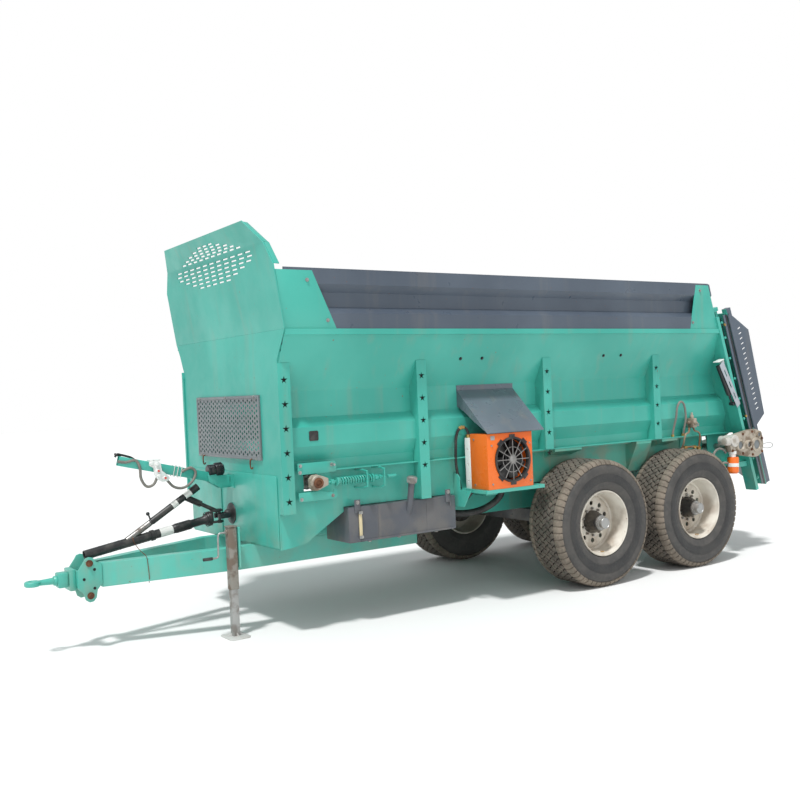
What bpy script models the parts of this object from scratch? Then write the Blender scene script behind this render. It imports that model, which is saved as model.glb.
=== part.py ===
"""Towed manure spreader with two vertical beaters, as an assembly of separate closed solids.

Frame: +X towards the drawbar, +Y the machine's left, +Z up, metres. The sizes below are measured from the
outer face of the hopper's front wall; the empty spreader_origin then moves the whole machine along X, so
that the frame's origin is on the ground under the middle of its length. The rear unit, with its gate,
beaters and flaps, is built upright in the empty rear_unit, which leans forward at the top.
"""
import math

import bmesh
import bpy
from mathutils import Matrix, Vector

# ---------------------------------------------------------------- driving dimensions
FIT = 0.0003                 # gap between two pieces that touch
RUN = 0.006                  # clearance between moving pieces

HOPPER_LENGTH = 4.90         # front wall to rear edge, along the rim
RIM_HEIGHT = 2.337
RIM_HALF = 1.084
RIM_RAIL = 0.045
FLOOR_HEIGHT = 1.250
FLOOR_THICK = 0.014
SILL_BOTTOM = 0.955
SHEET = 0.008
WALL_PROFILE = ((1.062, 2.2917), (0.850, 1.873), (0.850, 1.674), (0.920, 1.598),
                (0.920, 1.452), (0.865, 1.340), (0.865, SILL_BOTTOM))
FLANGE_HEIGHT = 1.263
FLANGE_THICK = 0.008
FLANGE_HALF = 0.930
FRONT_BOTTOM = 0.6785
FRONT_NOTCH_HEIGHT = 2.114
FRONT_NOTCH_HALF = 0.934
FRONT_LOW_HALF = 0.866
WINDOW = (-0.56, 0.56, 1.42, 1.80)
GRILLE = (-0.638, 0.620, 1.352, 1.858)

POST_STATIONS = (1.284, 2.654, 4.085)
POST_WIDTH = 0.096
POST_FACE = 0.964
POST_TOP = 2.109
CORNER_POST = (-0.090, 0.012)

EXTENSION_TOP = 2.785
EXTENSION_PROFILE = ((1.068, EXTENSION_TOP), (1.068, 2.677), (1.010, 2.617),
                     (1.010, 2.503), (1.068, 2.450), (1.068, RIM_HEIGHT + FIT))
EXTENSION_SHEET = 0.006
END_PLATE = 0.006
FRONT_PLATE = ((-0.011, 2.3375), (0.048, 2.772), (-0.255, 2.772), (-0.446, 2.3375))
REAR_PLATE = ((-4.480, 2.3375), (-4.580, 2.775), (-5.000, 2.775), (-5.000, 2.3375))

SHIELD_LEAN = 0.145
SHIELD_KINK = (0.094, 0.978, 2.984)      # forward, half width, height
SHIELD_TOP = (0.177, 0.807, 3.156)
SHIELD_SHOULDER = 2.810

DRAWBAR_NOSE = 1.120
DRAWBAR_NOSE_HALF = 0.112
DRAWBAR_KNEE = 0.130
DRAWBAR_END = -1.550
DRAWBAR_BOTTOM = 0.495
DRAWBAR_TOP = 0.6782
DRAWBAR_DROP = 0.028
RAIL_OUTER = 0.405
RAIL_WIDTH = 0.090
RAIL_BOTTOM = 0.6785
RAIL_TOP = 0.900
RAIL_END = -5.300
CROSS_STATIONS = {"front": 0.25, "middle": 2.05, "rear": 5.2523}
CROSS_WIDTH = 0.140
EYE_REACH = 1.650
EYE_HEIGHT = 0.545

JACK_STATION = 0.235
JACK_OFFSET = 0.490
JACK_PIVOT_HEIGHT = 0.800
JACK_TUBE = 0.070
JACK_TUBE_BOTTOM = 0.370
JACK_FOOT = (0.170, 0.220, 0.012)
JACK_STROKE = 0.330

AXLE_STATIONS = {"front": 3.037, "rear": 4.333}
TYRE_RADIUS = 0.575
WHEEL_TRACK_HALF = 1.035
AXLE_BEAM = 0.120
AXLE_BEAM_HALF = 0.900
SPINDLE_RADIUS = 0.040
SPINDLE_DEPTH = 0.030
BORE_CLEARANCE = 0.0005

CONVEYOR_HALF = 0.800
CONVEYOR_THICK = 0.028
SLAT_PITCH = 0.400
SLAT_WIDTH = 0.050
CHAIN_WIDTH = 0.050
FRONT_SHAFT = (-0.274, 1.174)            # station, height
REAR_SHAFT = (-5.060, 1.120)
DRIVE_OUTLINE = ((-4.930, 1.080), (-4.900, 1.150), (-4.920, 1.240), (-5.250, 1.290), (-5.380, 1.285),
                 (-5.450, 1.220), (-5.460, 1.080), (-5.400, 1.015), (-5.300, 1.000), (-5.060, 1.040))
SHAFT_RADIUS = 0.032
BEARING_SLOT = (0.060, 0.066)
ARCH = (2.440, 4.930, 1.2553, 0.8652)    # front, rear, top and half width of the opening over the wheels
SKIRT = ((-SHEET - 0.0003, 0.975), (-SHEET - 0.0003, 0.679), (-0.110, 0.690), (-0.210, 0.705), (-0.5555, 0.917),
         (-0.5555, 0.975))
WHEEL_SILL = (0.770, 0.778, 0.957)       # inner face, outer face, bottom
BRACKETS = ((2.747, 3.081, 1.175), (3.810, 4.020, 0.960), (4.174, 4.400, 1.175))   # front, rear, bottom
TENSION_ROD_END = -0.960

TANK = ((-1.600, 0.560, 0.668), (-0.560, 0.930, 0.950))
COOLER = ((-2.205, 1.005, 0.995), (-1.720, 1.238, 1.458))
COOLER_CORE_INNER = 0.9305
FAN_CENTRE = (-1.985, 1.232)
FAN_RADIUS = 0.165
FAN_POCKET = 0.178
FAN_POCKET_DEPTH = 0.085
FAN_BLADES = 7
SHELF = ((-2.330, 0.8653, 0.9650), (-1.700, 1.238, 0.9947))
CANOPY_SPAN = (-2.335, -1.715)
CANOPY_SHEET = 0.005
CANOPY_EDGE = (1.252, 1.466)

LEAN = math.radians(17.0)
REAR_BASE = 0.640                        # height of the rear unit's foot
GATE_THICK = 0.018
GATE_SLOT = 0.0005
GATE_FRONT = -0.012
GATE_HALF = 0.985
GATE_BOTTOM = 0.640
GATE_TOP = 1.450
GATE_STROKE = 0.750
COLUMN_INNER = 0.955
COLUMN_OUTER = 1.090
COLUMN_DEPTH = 0.180
COLUMN_WEB = 0.010
COLUMN_HEIGHT = 1.890
POST_SIZE = (0.065, 0.060)
CYLINDER_BORE = 0.0215
CYLINDER_RADIUS = 0.038
CYLINDER_SPAN = (0.960, 1.850)
ROD_RADIUS = 0.020
BEATER_BACK = 0.355                      # axis behind the hopper's rear edge
BEATER_OFFSET = 0.385
BEATER_RADIUS = 0.310
BEATER_TUBE = 0.085
BEATER_SHAFT = 0.035
DISC_RADIUS = 0.350
DISC_SPAN = (0.330, 0.345)
GEAR_BEAM = (0.100, 0.250)
TOP_BEAM = (1.760, 1.880)
FLAP_SPAN = (0.632, 1.879)
FLAP_REACH = 0.254
FLAP_THICK = 0.006
HINGE_RADIUS = 0.012

HOSE_RADIUS = 0.011
FRONT_HOSE = ((0.935, 0.0363, 1.395), (0.870, 0.0363, 1.385), (0.800, 0.0363, 1.395), (0.768, 0.0363, 1.340),
              (0.762, 0.0363, 1.250), (0.722, 0.0363, 1.185), (0.665, 0.0363, 1.195), (0.628, 0.0363, 1.258),
              (0.600, 0.0363, 1.288), (0.560, 0.0363, 1.225), (0.500, 0.0363, 1.160), (0.420, 0.0363, 1.148),
              (0.345, 0.0363, 1.195), (0.318, 0.0363, 1.262), (0.352, 0.0363, 1.300), (0.400, 0.0363, 1.290),
              (0.430, 0.0363, 1.275))
REAR_HOSE = ((-4.345, 0.912, 1.2655), (-4.348, 0.922, 1.330), (-4.362, 0.950, 1.450), (-4.385, 0.952, 1.560),
             (-4.425, 0.954, 1.612), (-4.470, 0.956, 1.600), (-4.492, 0.958, 1.540), (-4.500, 0.958, 1.440),
             (-4.502, 0.930, 1.340), (-4.504, 0.912, 1.2660))

REAR_EDGE = Vector((-HOPPER_LENGTH, 0.0, RIM_HEIGHT))
LEAN_AXIS = Vector((math.sin(LEAN), 0.0, math.cos(LEAN)))
REAR_ORIGIN = REAR_EDGE - LEAN_AXIS * ((RIM_HEIGHT - REAR_BASE) / math.cos(LEAN))
TAIL = REAR_ORIGIN.x - (BEATER_BACK + DISC_RADIUS) * math.cos(LEAN) + DISC_SPAN[0] * math.sin(LEAN)
CENTRE_SHIFT = -(EYE_REACH + TAIL) / 2.0

# ---------------------------------------------------------------- scene and collections
for old in list(bpy.data.objects):
    bpy.data.objects.remove(old, do_unlink=True)

parts = bpy.data.collections.new("manure_spreader")
cutters = bpy.data.collections.new("cutters")
bpy.context.scene.collection.children.link(parts)
bpy.context.scene.collection.children.link(cutters)

origin = bpy.data.objects.new("spreader_origin", None)
origin.location = (CENTRE_SHIFT, 0.0, 0.0)
parts.objects.link(origin)

rear_unit = bpy.data.objects.new("rear_unit", None)
rear_unit.parent = origin
rear_unit.location = REAR_ORIGIN
rear_unit.rotation_euler = (0.0, LEAN, 0.0)
parts.objects.link(rear_unit)


def finish_material(name, colour, roughness, metallic=0.0):
    """A Principled material with the finish of one kind of sub-part."""
    material = bpy.data.materials.new(name)
    material.use_nodes = True
    shader = material.node_tree.nodes["Principled BSDF"]
    shader.inputs["Base Color"].default_value = (*colour, 1.0)
    shader.inputs["Roughness"].default_value = roughness
    shader.inputs["Metallic"].default_value = metallic
    return material


TEAL = finish_material("teal_paint", (0.075, 0.560, 0.430), 0.38)
SLATE = finish_material("slate_paint", (0.090, 0.115, 0.150), 0.42)
GREY = finish_material("grey_paint", (0.300, 0.310, 0.320), 0.50)
BLACK = finish_material("black_paint", (0.012, 0.013, 0.016), 0.45)
RUBBER = finish_material("tyre_rubber", (0.060, 0.055, 0.050), 0.85)
CREAM = finish_material("rim_cream", (0.640, 0.590, 0.500), 0.40)
ORANGE = finish_material("orange_paint", (0.850, 0.230, 0.030), 0.40)
STEEL = finish_material("bare_steel", (0.420, 0.400, 0.370), 0.45, 0.8)
CAST = finish_material("cast_beige", (0.560, 0.510, 0.430), 0.60)


# ---------------------------------------------------------------- modelling helpers
def add(name, mesh, material, parent=origin):
    """Links a new object for a mesh under the machine's origin or the rear unit."""
    item = bpy.data.objects.new(name, mesh)
    item.data.materials.append(material)
    item.parent = parent
    parts.objects.link(item)
    return item


def mesh_from(builder):
    """A mesh that the given function fills through bmesh."""
    mesh = bpy.data.meshes.new("shape")
    bm = bmesh.new()
    builder(bm)
    bm.to_mesh(mesh)
    bm.free()
    return mesh


def box(name, low, high, material, parent=origin):
    """A box between two corners."""
    low, high = Vector(low), Vector(high)
    size = high - low

    def build(bm):
        bmesh.ops.create_cube(bm, size=1.0)
        bmesh.ops.scale(bm, vec=size, verts=bm.verts)

    item = add(name, mesh_from(build), material, parent)
    item.location = (low + high) / 2.0
    return item


TURNS = {"X": (0.0, math.pi / 2, 0.0), "Y": (-math.pi / 2, 0.0, 0.0), "Z": (0.0, 0.0, 0.0)}


def rod(name, start, length, radius, axis, material, parent=origin, sides=20, end_radius=None):
    """A round bar or cone from a start point along +X, +Y or +Z."""
    def build(bm):
        bmesh.ops.create_cone(bm, cap_ends=True, segments=sides, radius1=radius,
                              radius2=radius if end_radius is None else end_radius, depth=length)
        bmesh.ops.translate(bm, vec=(0.0, 0.0, length / 2), verts=bm.verts)

    item = add(name, mesh_from(build), material, parent)
    item.location = start
    item.rotation_euler = TURNS[axis]
    item.data.shade_smooth()
    item.data.set_sharp_from_angle(angle=math.radians(35))
    return item


def strut(name, start, end, radius, material, sides=16):
    """A round bar between any two points."""
    start, end = Vector(start), Vector(end)
    item = rod(name, start, (end - start).length, radius, "Z", material, sides=sides)
    item.rotation_euler = (end - start).to_track_quat("Z", "Y").to_euler()
    return item


def beam(name, start, end, width, height, material):
    """A rectangular tube between two points in the plane Y = 0, as a solid bar."""
    reach = end - start
    item = box(name, (-reach.length / 2, -width / 2, -height / 2), (reach.length / 2, width / 2, height / 2), material)
    item.location = (start + end) / 2.0
    item.rotation_euler = (0.0, -math.atan2(reach.z, reach.x), 0.0)
    return item


def hose(name, points, radius, material):
    """A hose with closed ends along a smooth curve through the points."""
    curve = bpy.data.curves.new(name, "CURVE")
    curve.dimensions = "3D"
    curve.bevel_depth = radius
    curve.bevel_resolution = 2
    curve.use_fill_caps = True
    spline = curve.splines.new("POLY")
    spline.points.add(len(points) - 1)
    for place, point in zip(spline.points, points):
        place.co = (*point, 1.0)
    item = bpy.data.objects.new(name, curve)
    item.data.materials.append(material)
    item.parent = origin
    parts.objects.link(item)
    return item


def smooth_path(knots, steps):
    """Points of a Catmull-Rom curve through the knots."""
    knots = [Vector(knot) for knot in knots]
    padded = [2 * knots[0] - knots[1], *knots, 2 * knots[-1] - knots[-2]]
    path = []
    for before, start, end, after in zip(padded, padded[1:], padded[2:], padded[3:]):
        for step in range(steps):
            t = step / steps
            path.append(0.5 * (2 * start + (end - before) * t + (2 * before - 5 * start + 4 * end - after) * t * t
                               + (3 * start - before - 3 * end + after) * t ** 3))
    path.append(knots[-1])
    return path


def flat(name, points, thickness, plane, middle, material, parent=origin, holes=()):
    """A plate with a flat outline in the plane XY, XZ or YZ, centred on a height along its normal."""
    curve = bpy.data.curves.new(name, "CURVE")
    curve.dimensions = "2D"
    curve.fill_mode = "BOTH"
    curve.extrude = thickness / 2
    for outline in (points, *holes):
        spline = curve.splines.new("POLY")
        spline.points.add(len(outline) - 1)
        for point, (across, up) in zip(spline.points, outline):
            point.co = (across, up, 0.0, 1.0)
        spline.use_cyclic_u = True
    guide = bpy.data.objects.new(name + "_outline", curve)
    parts.objects.link(guide)
    bpy.context.view_layer.update()
    graph = bpy.context.evaluated_depsgraph_get()
    mesh = bpy.data.meshes.new_from_object(guide.evaluated_get(graph))
    bpy.data.objects.remove(guide, do_unlink=True)
    bm = bmesh.new()
    bm.from_mesh(mesh)
    bmesh.ops.remove_doubles(bm, verts=bm.verts, dist=1e-5)
    bmesh.ops.recalc_face_normals(bm, faces=bm.faces)
    bm.to_mesh(mesh)
    bm.free()
    mesh.materials.clear()
    item = add(name, mesh, material, parent)
    if plane == "XZ":
        item.rotation_euler = (math.pi / 2, 0.0, 0.0)
        item.location = (0.0, middle, 0.0)
    elif plane == "YZ":
        item.rotation_euler = (math.pi / 2, 0.0, math.pi / 2)
        item.location = (middle, 0.0, 0.0)
    else:
        item.location = (0.0, 0.0, middle)
    return item


def turned(name, profile, steps, material, parent=origin):
    """A closed profile of (radius, height) points turned about Z."""
    def build(bm):
        corners = [bm.verts.new((radius, 0.0, height)) for radius, height in profile]
        for first, second in zip(corners, corners[1:] + corners[:1]):
            bm.edges.new((first, second))

    item = add(name, mesh_from(build), material, parent)
    screw = item.modifiers.new("turn", "SCREW")
    screw.steps = steps
    screw.render_steps = steps
    screw.use_merge_vertices = True
    screw.merge_threshold = 0.00001
    screw.use_smooth_shade = True
    return item


def sheet(name, profile, station_front, station_rear, thickness, side, material):
    """A folded sheet: a (half width, height) profile drawn along X, its thickness inwards."""
    def build(bm):
        row = [bm.verts.new((station_front, side * half, height)) for half, height in profile]
        edges = [bm.edges.new(pair) for pair in zip(row, row[1:])]
        drawn = bmesh.ops.extrude_edge_only(bm, edges=edges)
        moved = [piece for piece in drawn["geom"] if isinstance(piece, bmesh.types.BMVert)]
        bmesh.ops.translate(bm, vec=(station_rear - station_front, 0.0, 0.0), verts=moved)
        bmesh.ops.recalc_face_normals(bm, faces=bm.faces)
        outward = sum((face.normal.y * side * face.calc_area() for face in bm.faces))
        if outward < 0:
            bmesh.ops.reverse_faces(bm, faces=bm.faces)

    item = add(name, mesh_from(build), material)
    wall = item.modifiers.new("thickness", "SOLIDIFY")
    wall.thickness = thickness
    wall.offset = -1.0
    wall.use_even_offset = True
    return item


def combine(target, tool, operation):
    """Joins a tool to a target, or cuts it away, with an exact Boolean."""
    parts.objects.unlink(tool)
    cutters.objects.link(tool)
    tool.hide_render = True
    tool.display_type = "WIRE"
    step = target.modifiers.new(operation.lower(), "BOOLEAN")
    step.operation = operation
    step.object = tool
    step.solver = "EXACT"
    return target


def join(target, *tools):
    """Welds every tool to the target."""
    for tool in tools:
        combine(target, tool, "UNION")
    return target


def cut(target, *tools):
    """Cuts every tool out of the target."""
    for tool in tools:
        combine(target, tool, "DIFFERENCE")
    return target


def sides():
    """The two sides of the machine: a name and the sign of Y."""
    return (("left", 1.0), ("right", -1.0))


def rear_edge_at(height):
    """Station of the hopper's slanted rear edge at a height."""
    return REAR_EDGE.x - (RIM_HEIGHT - height) * math.tan(LEAN)


# ---------------------------------------------------------------- hopper
def build_hopper():
    """Front wall with its window, both folded side walls, floor and posts."""
    half = [(RIM_HALF, RIM_HEIGHT), (FRONT_NOTCH_HALF, FRONT_NOTCH_HEIGHT), (FRONT_NOTCH_HALF, SILL_BOTTOM),
            (FRONT_LOW_HALF, SILL_BOTTOM), (FRONT_LOW_HALF, FRONT_BOTTOM)]
    outline = half + [(-across, up) for across, up in reversed(half)]
    left, right, low, high = WINDOW
    window = [(left, low), (right, low), (right, high), (left, high)]
    flat("hopper_front_wall", outline, SHEET, "YZ", -SHEET / 2, TEAL, holes=(window,))

    for side_name, side in sides():
        wall = sheet(f"hopper_wall_{side_name}", WALL_PROFILE, -SHEET - FIT, -6.0, SHEET, side, TEAL)
        rail_low = (-6.0, RIM_HALF - RIM_RAIL, RIM_HEIGHT - RIM_RAIL)
        rail = box("rim_rail", rail_low, (-SHEET - FIT, RIM_HALF, RIM_HEIGHT), TEAL)
        flange = box("floor_flange", (-6.0, WALL_PROFILE[-1][0] - SHEET / 2, FLANGE_HEIGHT - FLANGE_THICK),
                     (-0.434, FLANGE_HALF, FLANGE_HEIGHT), TEAL)
        for piece in (rail, flange):
            piece.location.y *= side
        station, height = FRONT_SHAFT
        wide, tall = BEARING_SLOT
        slot = box("bearing_slot", (station - wide, 0.70, height - tall), (station + wide, 1.00, height + tall), TEAL)
        slot.location.y *= side
        station, height = REAR_SHAFT
        shaft_hole = rod("shaft_hole", (station, -1.0, height), 2.0, SHAFT_RADIUS + FIT, "Y", TEAL)
        tail_cut = box("tail_cut", (-1.5, -1.5, -1.0), (0.0, 1.5, 4.0), TEAL, parent=rear_unit)
        arch = box("wheel_arch", (-ARCH[1], -ARCH[3], 0.90), (-ARCH[0], ARCH[3], ARCH[2]), TEAL)
        skirt = flat("skirt", SKIRT, SHEET - 0.001, "XZ", side * (WALL_PROFILE[-1][0] - SHEET / 2), TEAL)
        join(wall, rail, flange, skirt)
        cut(wall, slot, shaft_hole, arch, tail_cut)

    floor_rear = rear_edge_at(FLOOR_HEIGHT) + 0.02
    inner = WALL_PROFILE[-1][0] - SHEET - FIT
    low = FLOOR_HEIGHT - FLOOR_THICK
    floor = box("hopper_floor", (floor_rear, -inner, low), (-SHEET - FIT, inner, FLOOR_HEIGHT), TEAL)
    sill_in, sill_out, sill_low = WHEEL_SILL
    top = FLANGE_HEIGHT - FLANGE_THICK - FIT
    for _, side in sides():
        sill = box("wheel_sill", (-ARCH[1], side * (sill_in + sill_out) / 2 - SHEET / 2, sill_low),
                   (-ARCH[0], side * (sill_in + sill_out) / 2 + SHEET / 2, low + 0.005), TEAL)
        join(floor, sill)
        for front, rear, bottom in BRACKETS:
            half = [(sill_in + 0.002, bottom), (sill_in + 0.002, low + 0.003), (inner - 0.010, low + 0.003),
                    (inner - 0.010, top), (0.928, top), (0.928, top - 0.025), (sill_out + 0.018, bottom + 0.010),
                    (sill_out + 0.016, bottom)]
            join(floor, flat("sill_bracket", [(side * across, up) for across, up in half], rear - front, "YZ",
                             -(front + rear) / 2, TEAL))


def post_outline(bottom):
    """Outline of a wall post: straight outside, following the folded wall inside, notched round the flange."""
    inside = []
    for (half, height), (next_half, next_height) in zip(WALL_PROFILE, WALL_PROFILE[1:]):
        if next_height < POST_TOP < height:
            share = (height - POST_TOP) / (height - next_height)
            inside.append((half + (next_half - half) * share + FIT, POST_TOP))
    inside += [(half + FIT, height) for half, height in WALL_PROFILE[1:-1]]
    start = min(inside[0][0], POST_FACE - 0.004)
    inside[0] = (start, POST_TOP - (inside[0][0] - start) * 2.0)
    sill = WALL_PROFILE[-1][0] + FIT
    flange_top = FLANGE_HEIGHT + FIT
    flange_low = FLANGE_HEIGHT - FLANGE_THICK - FIT
    inside.append((sill, flange_top))
    inside.append((FLANGE_HALF + FIT, flange_top))
    if bottom < flange_low:
        inside += [(FLANGE_HALF + FIT, flange_low), (sill, flange_low), (sill, bottom)]
    lowest = inside[-1][1]
    return [(POST_FACE, lowest), (POST_FACE, inside[0][1])] + inside


def build_posts():
    """Corner posts on the front wall and three posts along each side wall."""
    for side_name, side in sides():
        rear, front = CORNER_POST
        tip = post_outline(SILL_BOTTOM)[2]
        notch = FRONT_NOTCH_HALF + FIT
        (high_half, high), (low_half, low) = WALL_PROFILE[:2]
        bend = low + (notch - FIT - low_half) * (high - low) / (high_half - low_half)
        corner = [(POST_FACE, SILL_BOTTOM), (POST_FACE, tip[1]), tip, (notch, bend), (notch, SILL_BOTTOM)]
        corner = [(side * across, up) for across, up in corner]
        flat(f"corner_post_{side_name}", corner, front - rear, "YZ", (front + rear) / 2, TEAL)
        for number, station in enumerate(POST_STATIONS, start=1):
            bottom = SILL_BOTTOM if number == 1 else FLANGE_HEIGHT
            outline = [(side * across, up) for across, up in post_outline(bottom)]
            flat(f"post_{side_name}_{number}", outline, POST_WIDTH, "YZ", -station, TEAL)


# ---------------------------------------------------------------- shield, grille and extensions
def build_front():
    """Stone shield above the front wall, and the perforated screen before its window."""
    kink_forward, kink_half, kink_height = SHIELD_KINK
    top_forward, top_half, top_height = SHIELD_TOP

    def build(bm):
        base = RIM_HEIGHT + FIT
        lean = SHIELD_LEAN * (SHIELD_SHOULDER - base)
        half = [(0.0, RIM_HALF, base), (lean, RIM_HALF, SHIELD_SHOULDER), (kink_forward, kink_half, kink_height),
                (top_forward, top_half, top_height)]
        left = [bm.verts.new(point) for point in half]
        right = [bm.verts.new((forward, -across, up)) for forward, across, up in half]
        for row in range(len(half) - 1):
            bm.faces.new((left[row], right[row], right[row + 1], left[row + 1]))
        bmesh.ops.recalc_face_normals(bm, faces=bm.faces)
        if bm.faces[:][0].normal.x < 0:
            bmesh.ops.reverse_faces(bm, faces=bm.faces)

    shield = add("front_shield", mesh_from(build), TEAL)
    wall = shield.modifiers.new("thickness", "SOLIDIFY")
    wall.thickness = SHEET
    wall.offset = -1.0

    left, right, low, high = GRILLE
    box("front_screen", (FIT, left, low), (0.012, right, high), GREY)


def build_extensions():
    """Ribbed extension sheets on the rim, each with its front and rear end plates."""
    for side_name, side in sides():
        front, rear = FRONT_PLATE[0][0] - 0.012, REAR_PLATE[-1][0] + 0.002
        rib = sheet(f"extension_{side_name}", EXTENSION_PROFILE, front, rear, EXTENSION_SHEET, side, SLATE)
        middle = side * (EXTENSION_PROFILE[0][0] + END_PLATE / 2 - 0.001)
        plates = [flat("end_plate", list(outline), END_PLATE, "XZ", middle, TEAL)
                  for outline in (FRONT_PLATE, REAR_PLATE)]
        tail_cut = box("tail_cut", (-1.5, -1.5, 0.0), (FIT, 1.5, 4.0), TEAL, parent=rear_unit)
        join(rib, *plates)
        cut(rib, tail_cut)


# ---------------------------------------------------------------- chassis
def build_chassis():
    """Drawbar beams, chassis rails above them, cross members, hitch head and towing eye."""
    for side_name, side in sides():
        outer = [(DRAWBAR_NOSE, DRAWBAR_NOSE_HALF), (DRAWBAR_KNEE, RAIL_OUTER), (DRAWBAR_END, RAIL_OUTER)]
        inner = [(DRAWBAR_END, RAIL_OUTER - RAIL_WIDTH), (DRAWBAR_KNEE, RAIL_OUTER - RAIL_WIDTH),
                 (DRAWBAR_NOSE, DRAWBAR_NOSE_HALF - RAIL_WIDTH)]
        outline = [(station, side * across) for station, across in outer + inner]
        beam = flat(f"drawbar_{side_name}", outline, DRAWBAR_TOP - DRAWBAR_BOTTOM, "XY",
                    (DRAWBAR_TOP + DRAWBAR_BOTTOM) / 2, TEAL)
        for corner in beam.data.vertices:
            if corner.co.x > DRAWBAR_NOSE / 2:
                corner.co.z -= DRAWBAR_DROP
        box(f"chassis_rail_{side_name}", (RAIL_END, min(side * RAIL_OUTER, side * (RAIL_OUTER - RAIL_WIDTH)),
            RAIL_BOTTOM), (-0.05, max(side * RAIL_OUTER, side * (RAIL_OUTER - RAIL_WIDTH)), RAIL_TOP), TEAL)

    for place, station in CROSS_STATIONS.items():
        reach = {"front": WALL_PROFILE[-1][0] - SHEET - FIT, "middle": WALL_PROFILE[-1][0], "rear": 1.050}[place]
        box(f"cross_member_{place}", (-station - CROSS_WIDTH / 2, -reach, RAIL_TOP + FIT),
            (-station + CROSS_WIDTH / 2, reach, SILL_BOTTOM - FIT), TEAL)

    low = DRAWBAR_BOTTOM - DRAWBAR_DROP
    high = DRAWBAR_TOP - DRAWBAR_DROP
    head = box("hitch_head", (DRAWBAR_NOSE + FIT, -0.110, low), (1.300, 0.110, high), TEAL)
    cheek = [(1.120, low + 0.010), (1.120, high - 0.004), (1.215, high + 0.050), (1.262, high + 0.050),
             (1.290, high - 0.020), (1.290, low + 0.010), (1.262, low - 0.100), (1.215, low - 0.100)]
    cheek = [(max(station, DRAWBAR_NOSE + FIT), up) for station, up in cheek]
    cheeks = [flat("hitch_cheek", cheek, 0.016, "XZ", side * 0.117, TEAL) for _, side in sides()]
    nose = box("hitch_nose", (1.290, -0.075, EYE_HEIGHT - 0.085), (1.420, 0.075, EYE_HEIGHT + 0.075), TEAL)
    join(head, *cheeks, nose)

    ring_centre = EYE_REACH - 0.058
    eye = rod("towing_eye", (ring_centre, 0.0, EYE_HEIGHT - 0.020), 0.040, 0.058, "Z", TEAL, sides=32)
    shank = rod("eye_shank", (1.400, 0.0, EYE_HEIGHT), ring_centre - 0.035 - 1.400, 0.020, "X", TEAL)
    hole = rod("eye_hole", (ring_centre, 0.0, EYE_HEIGHT - 0.1), 0.2, 0.026, "Z", TEAL, sides=24)
    join(head, shank, eye)
    cut(head, hole)


def build_jack():
    """Parking jack beside the drawbar: swivelling outer tube and sliding leg with its foot."""
    half = JACK_TUBE / 2
    ear_rear = JACK_STATION - half - RUN - 0.014
    bracket = box("jack_bracket", (ear_rear, DRAWBAR_SIDE_AT_JACK - 0.004, DRAWBAR_BOTTOM + 0.04),
                  (ear_rear + 0.014, JACK_OFFSET + 0.05, JACK_PIVOT_HEIGHT + 0.05), TEAL)
    join(bpy.data.objects["drawbar_left"], bracket)

    tube = box("jack_tube", (JACK_STATION - half, JACK_OFFSET - half, JACK_TUBE_BOTTOM),
               (JACK_STATION + half, JACK_OFFSET + half, JACK_PIVOT_HEIGHT + 0.060), GREY)
    pin_start = ear_rear + 0.014 + FIT
    pin = rod("swivel_pin", (pin_start, JACK_OFFSET, JACK_PIVOT_HEIGHT), JACK_STATION - pin_start, 0.022, "X", GREY)
    bore_half = half - 0.006
    bore = box("leg_bore", (JACK_STATION - bore_half, JACK_OFFSET - bore_half, JACK_TUBE_BOTTOM - 0.1),
               (JACK_STATION + bore_half, JACK_OFFSET + bore_half, JACK_PIVOT_HEIGHT - 0.03), GREY)
    join(tube, pin)
    cut(tube, bore)
    recentre(tube, (JACK_STATION, JACK_OFFSET, JACK_PIVOT_HEIGHT))

    long, wide, thick = JACK_FOOT
    slide_half = bore_half - 0.0005
    leg = box("jack_leg", (JACK_STATION - slide_half, JACK_OFFSET - slide_half, thick / 2),
              (JACK_STATION + slide_half, JACK_OFFSET + slide_half, JACK_TUBE_BOTTOM + 0.060), STEEL)
    foot = box("jack_foot", (JACK_STATION - long / 2, JACK_OFFSET - wide / 2, 0.0),
               (JACK_STATION + long / 2, JACK_OFFSET + wide / 2, thick), STEEL)
    join(leg, foot)


def recentre(item, point):
    """Moves an object's origin to a point, leaving its shape where it is."""
    shift = Vector(point) - item.location
    turn = item.rotation_euler.to_matrix().to_4x4()
    item.data.transform(Matrix.Translation(-(turn.inverted() @ shift)))
    item.location = point


DRAWBAR_SLOPE = (RAIL_OUTER - DRAWBAR_NOSE_HALF) / (DRAWBAR_NOSE - DRAWBAR_KNEE)
DRAWBAR_SIDE_AT_JACK = RAIL_OUTER - (JACK_STATION - DRAWBAR_KNEE) * DRAWBAR_SLOPE


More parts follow.
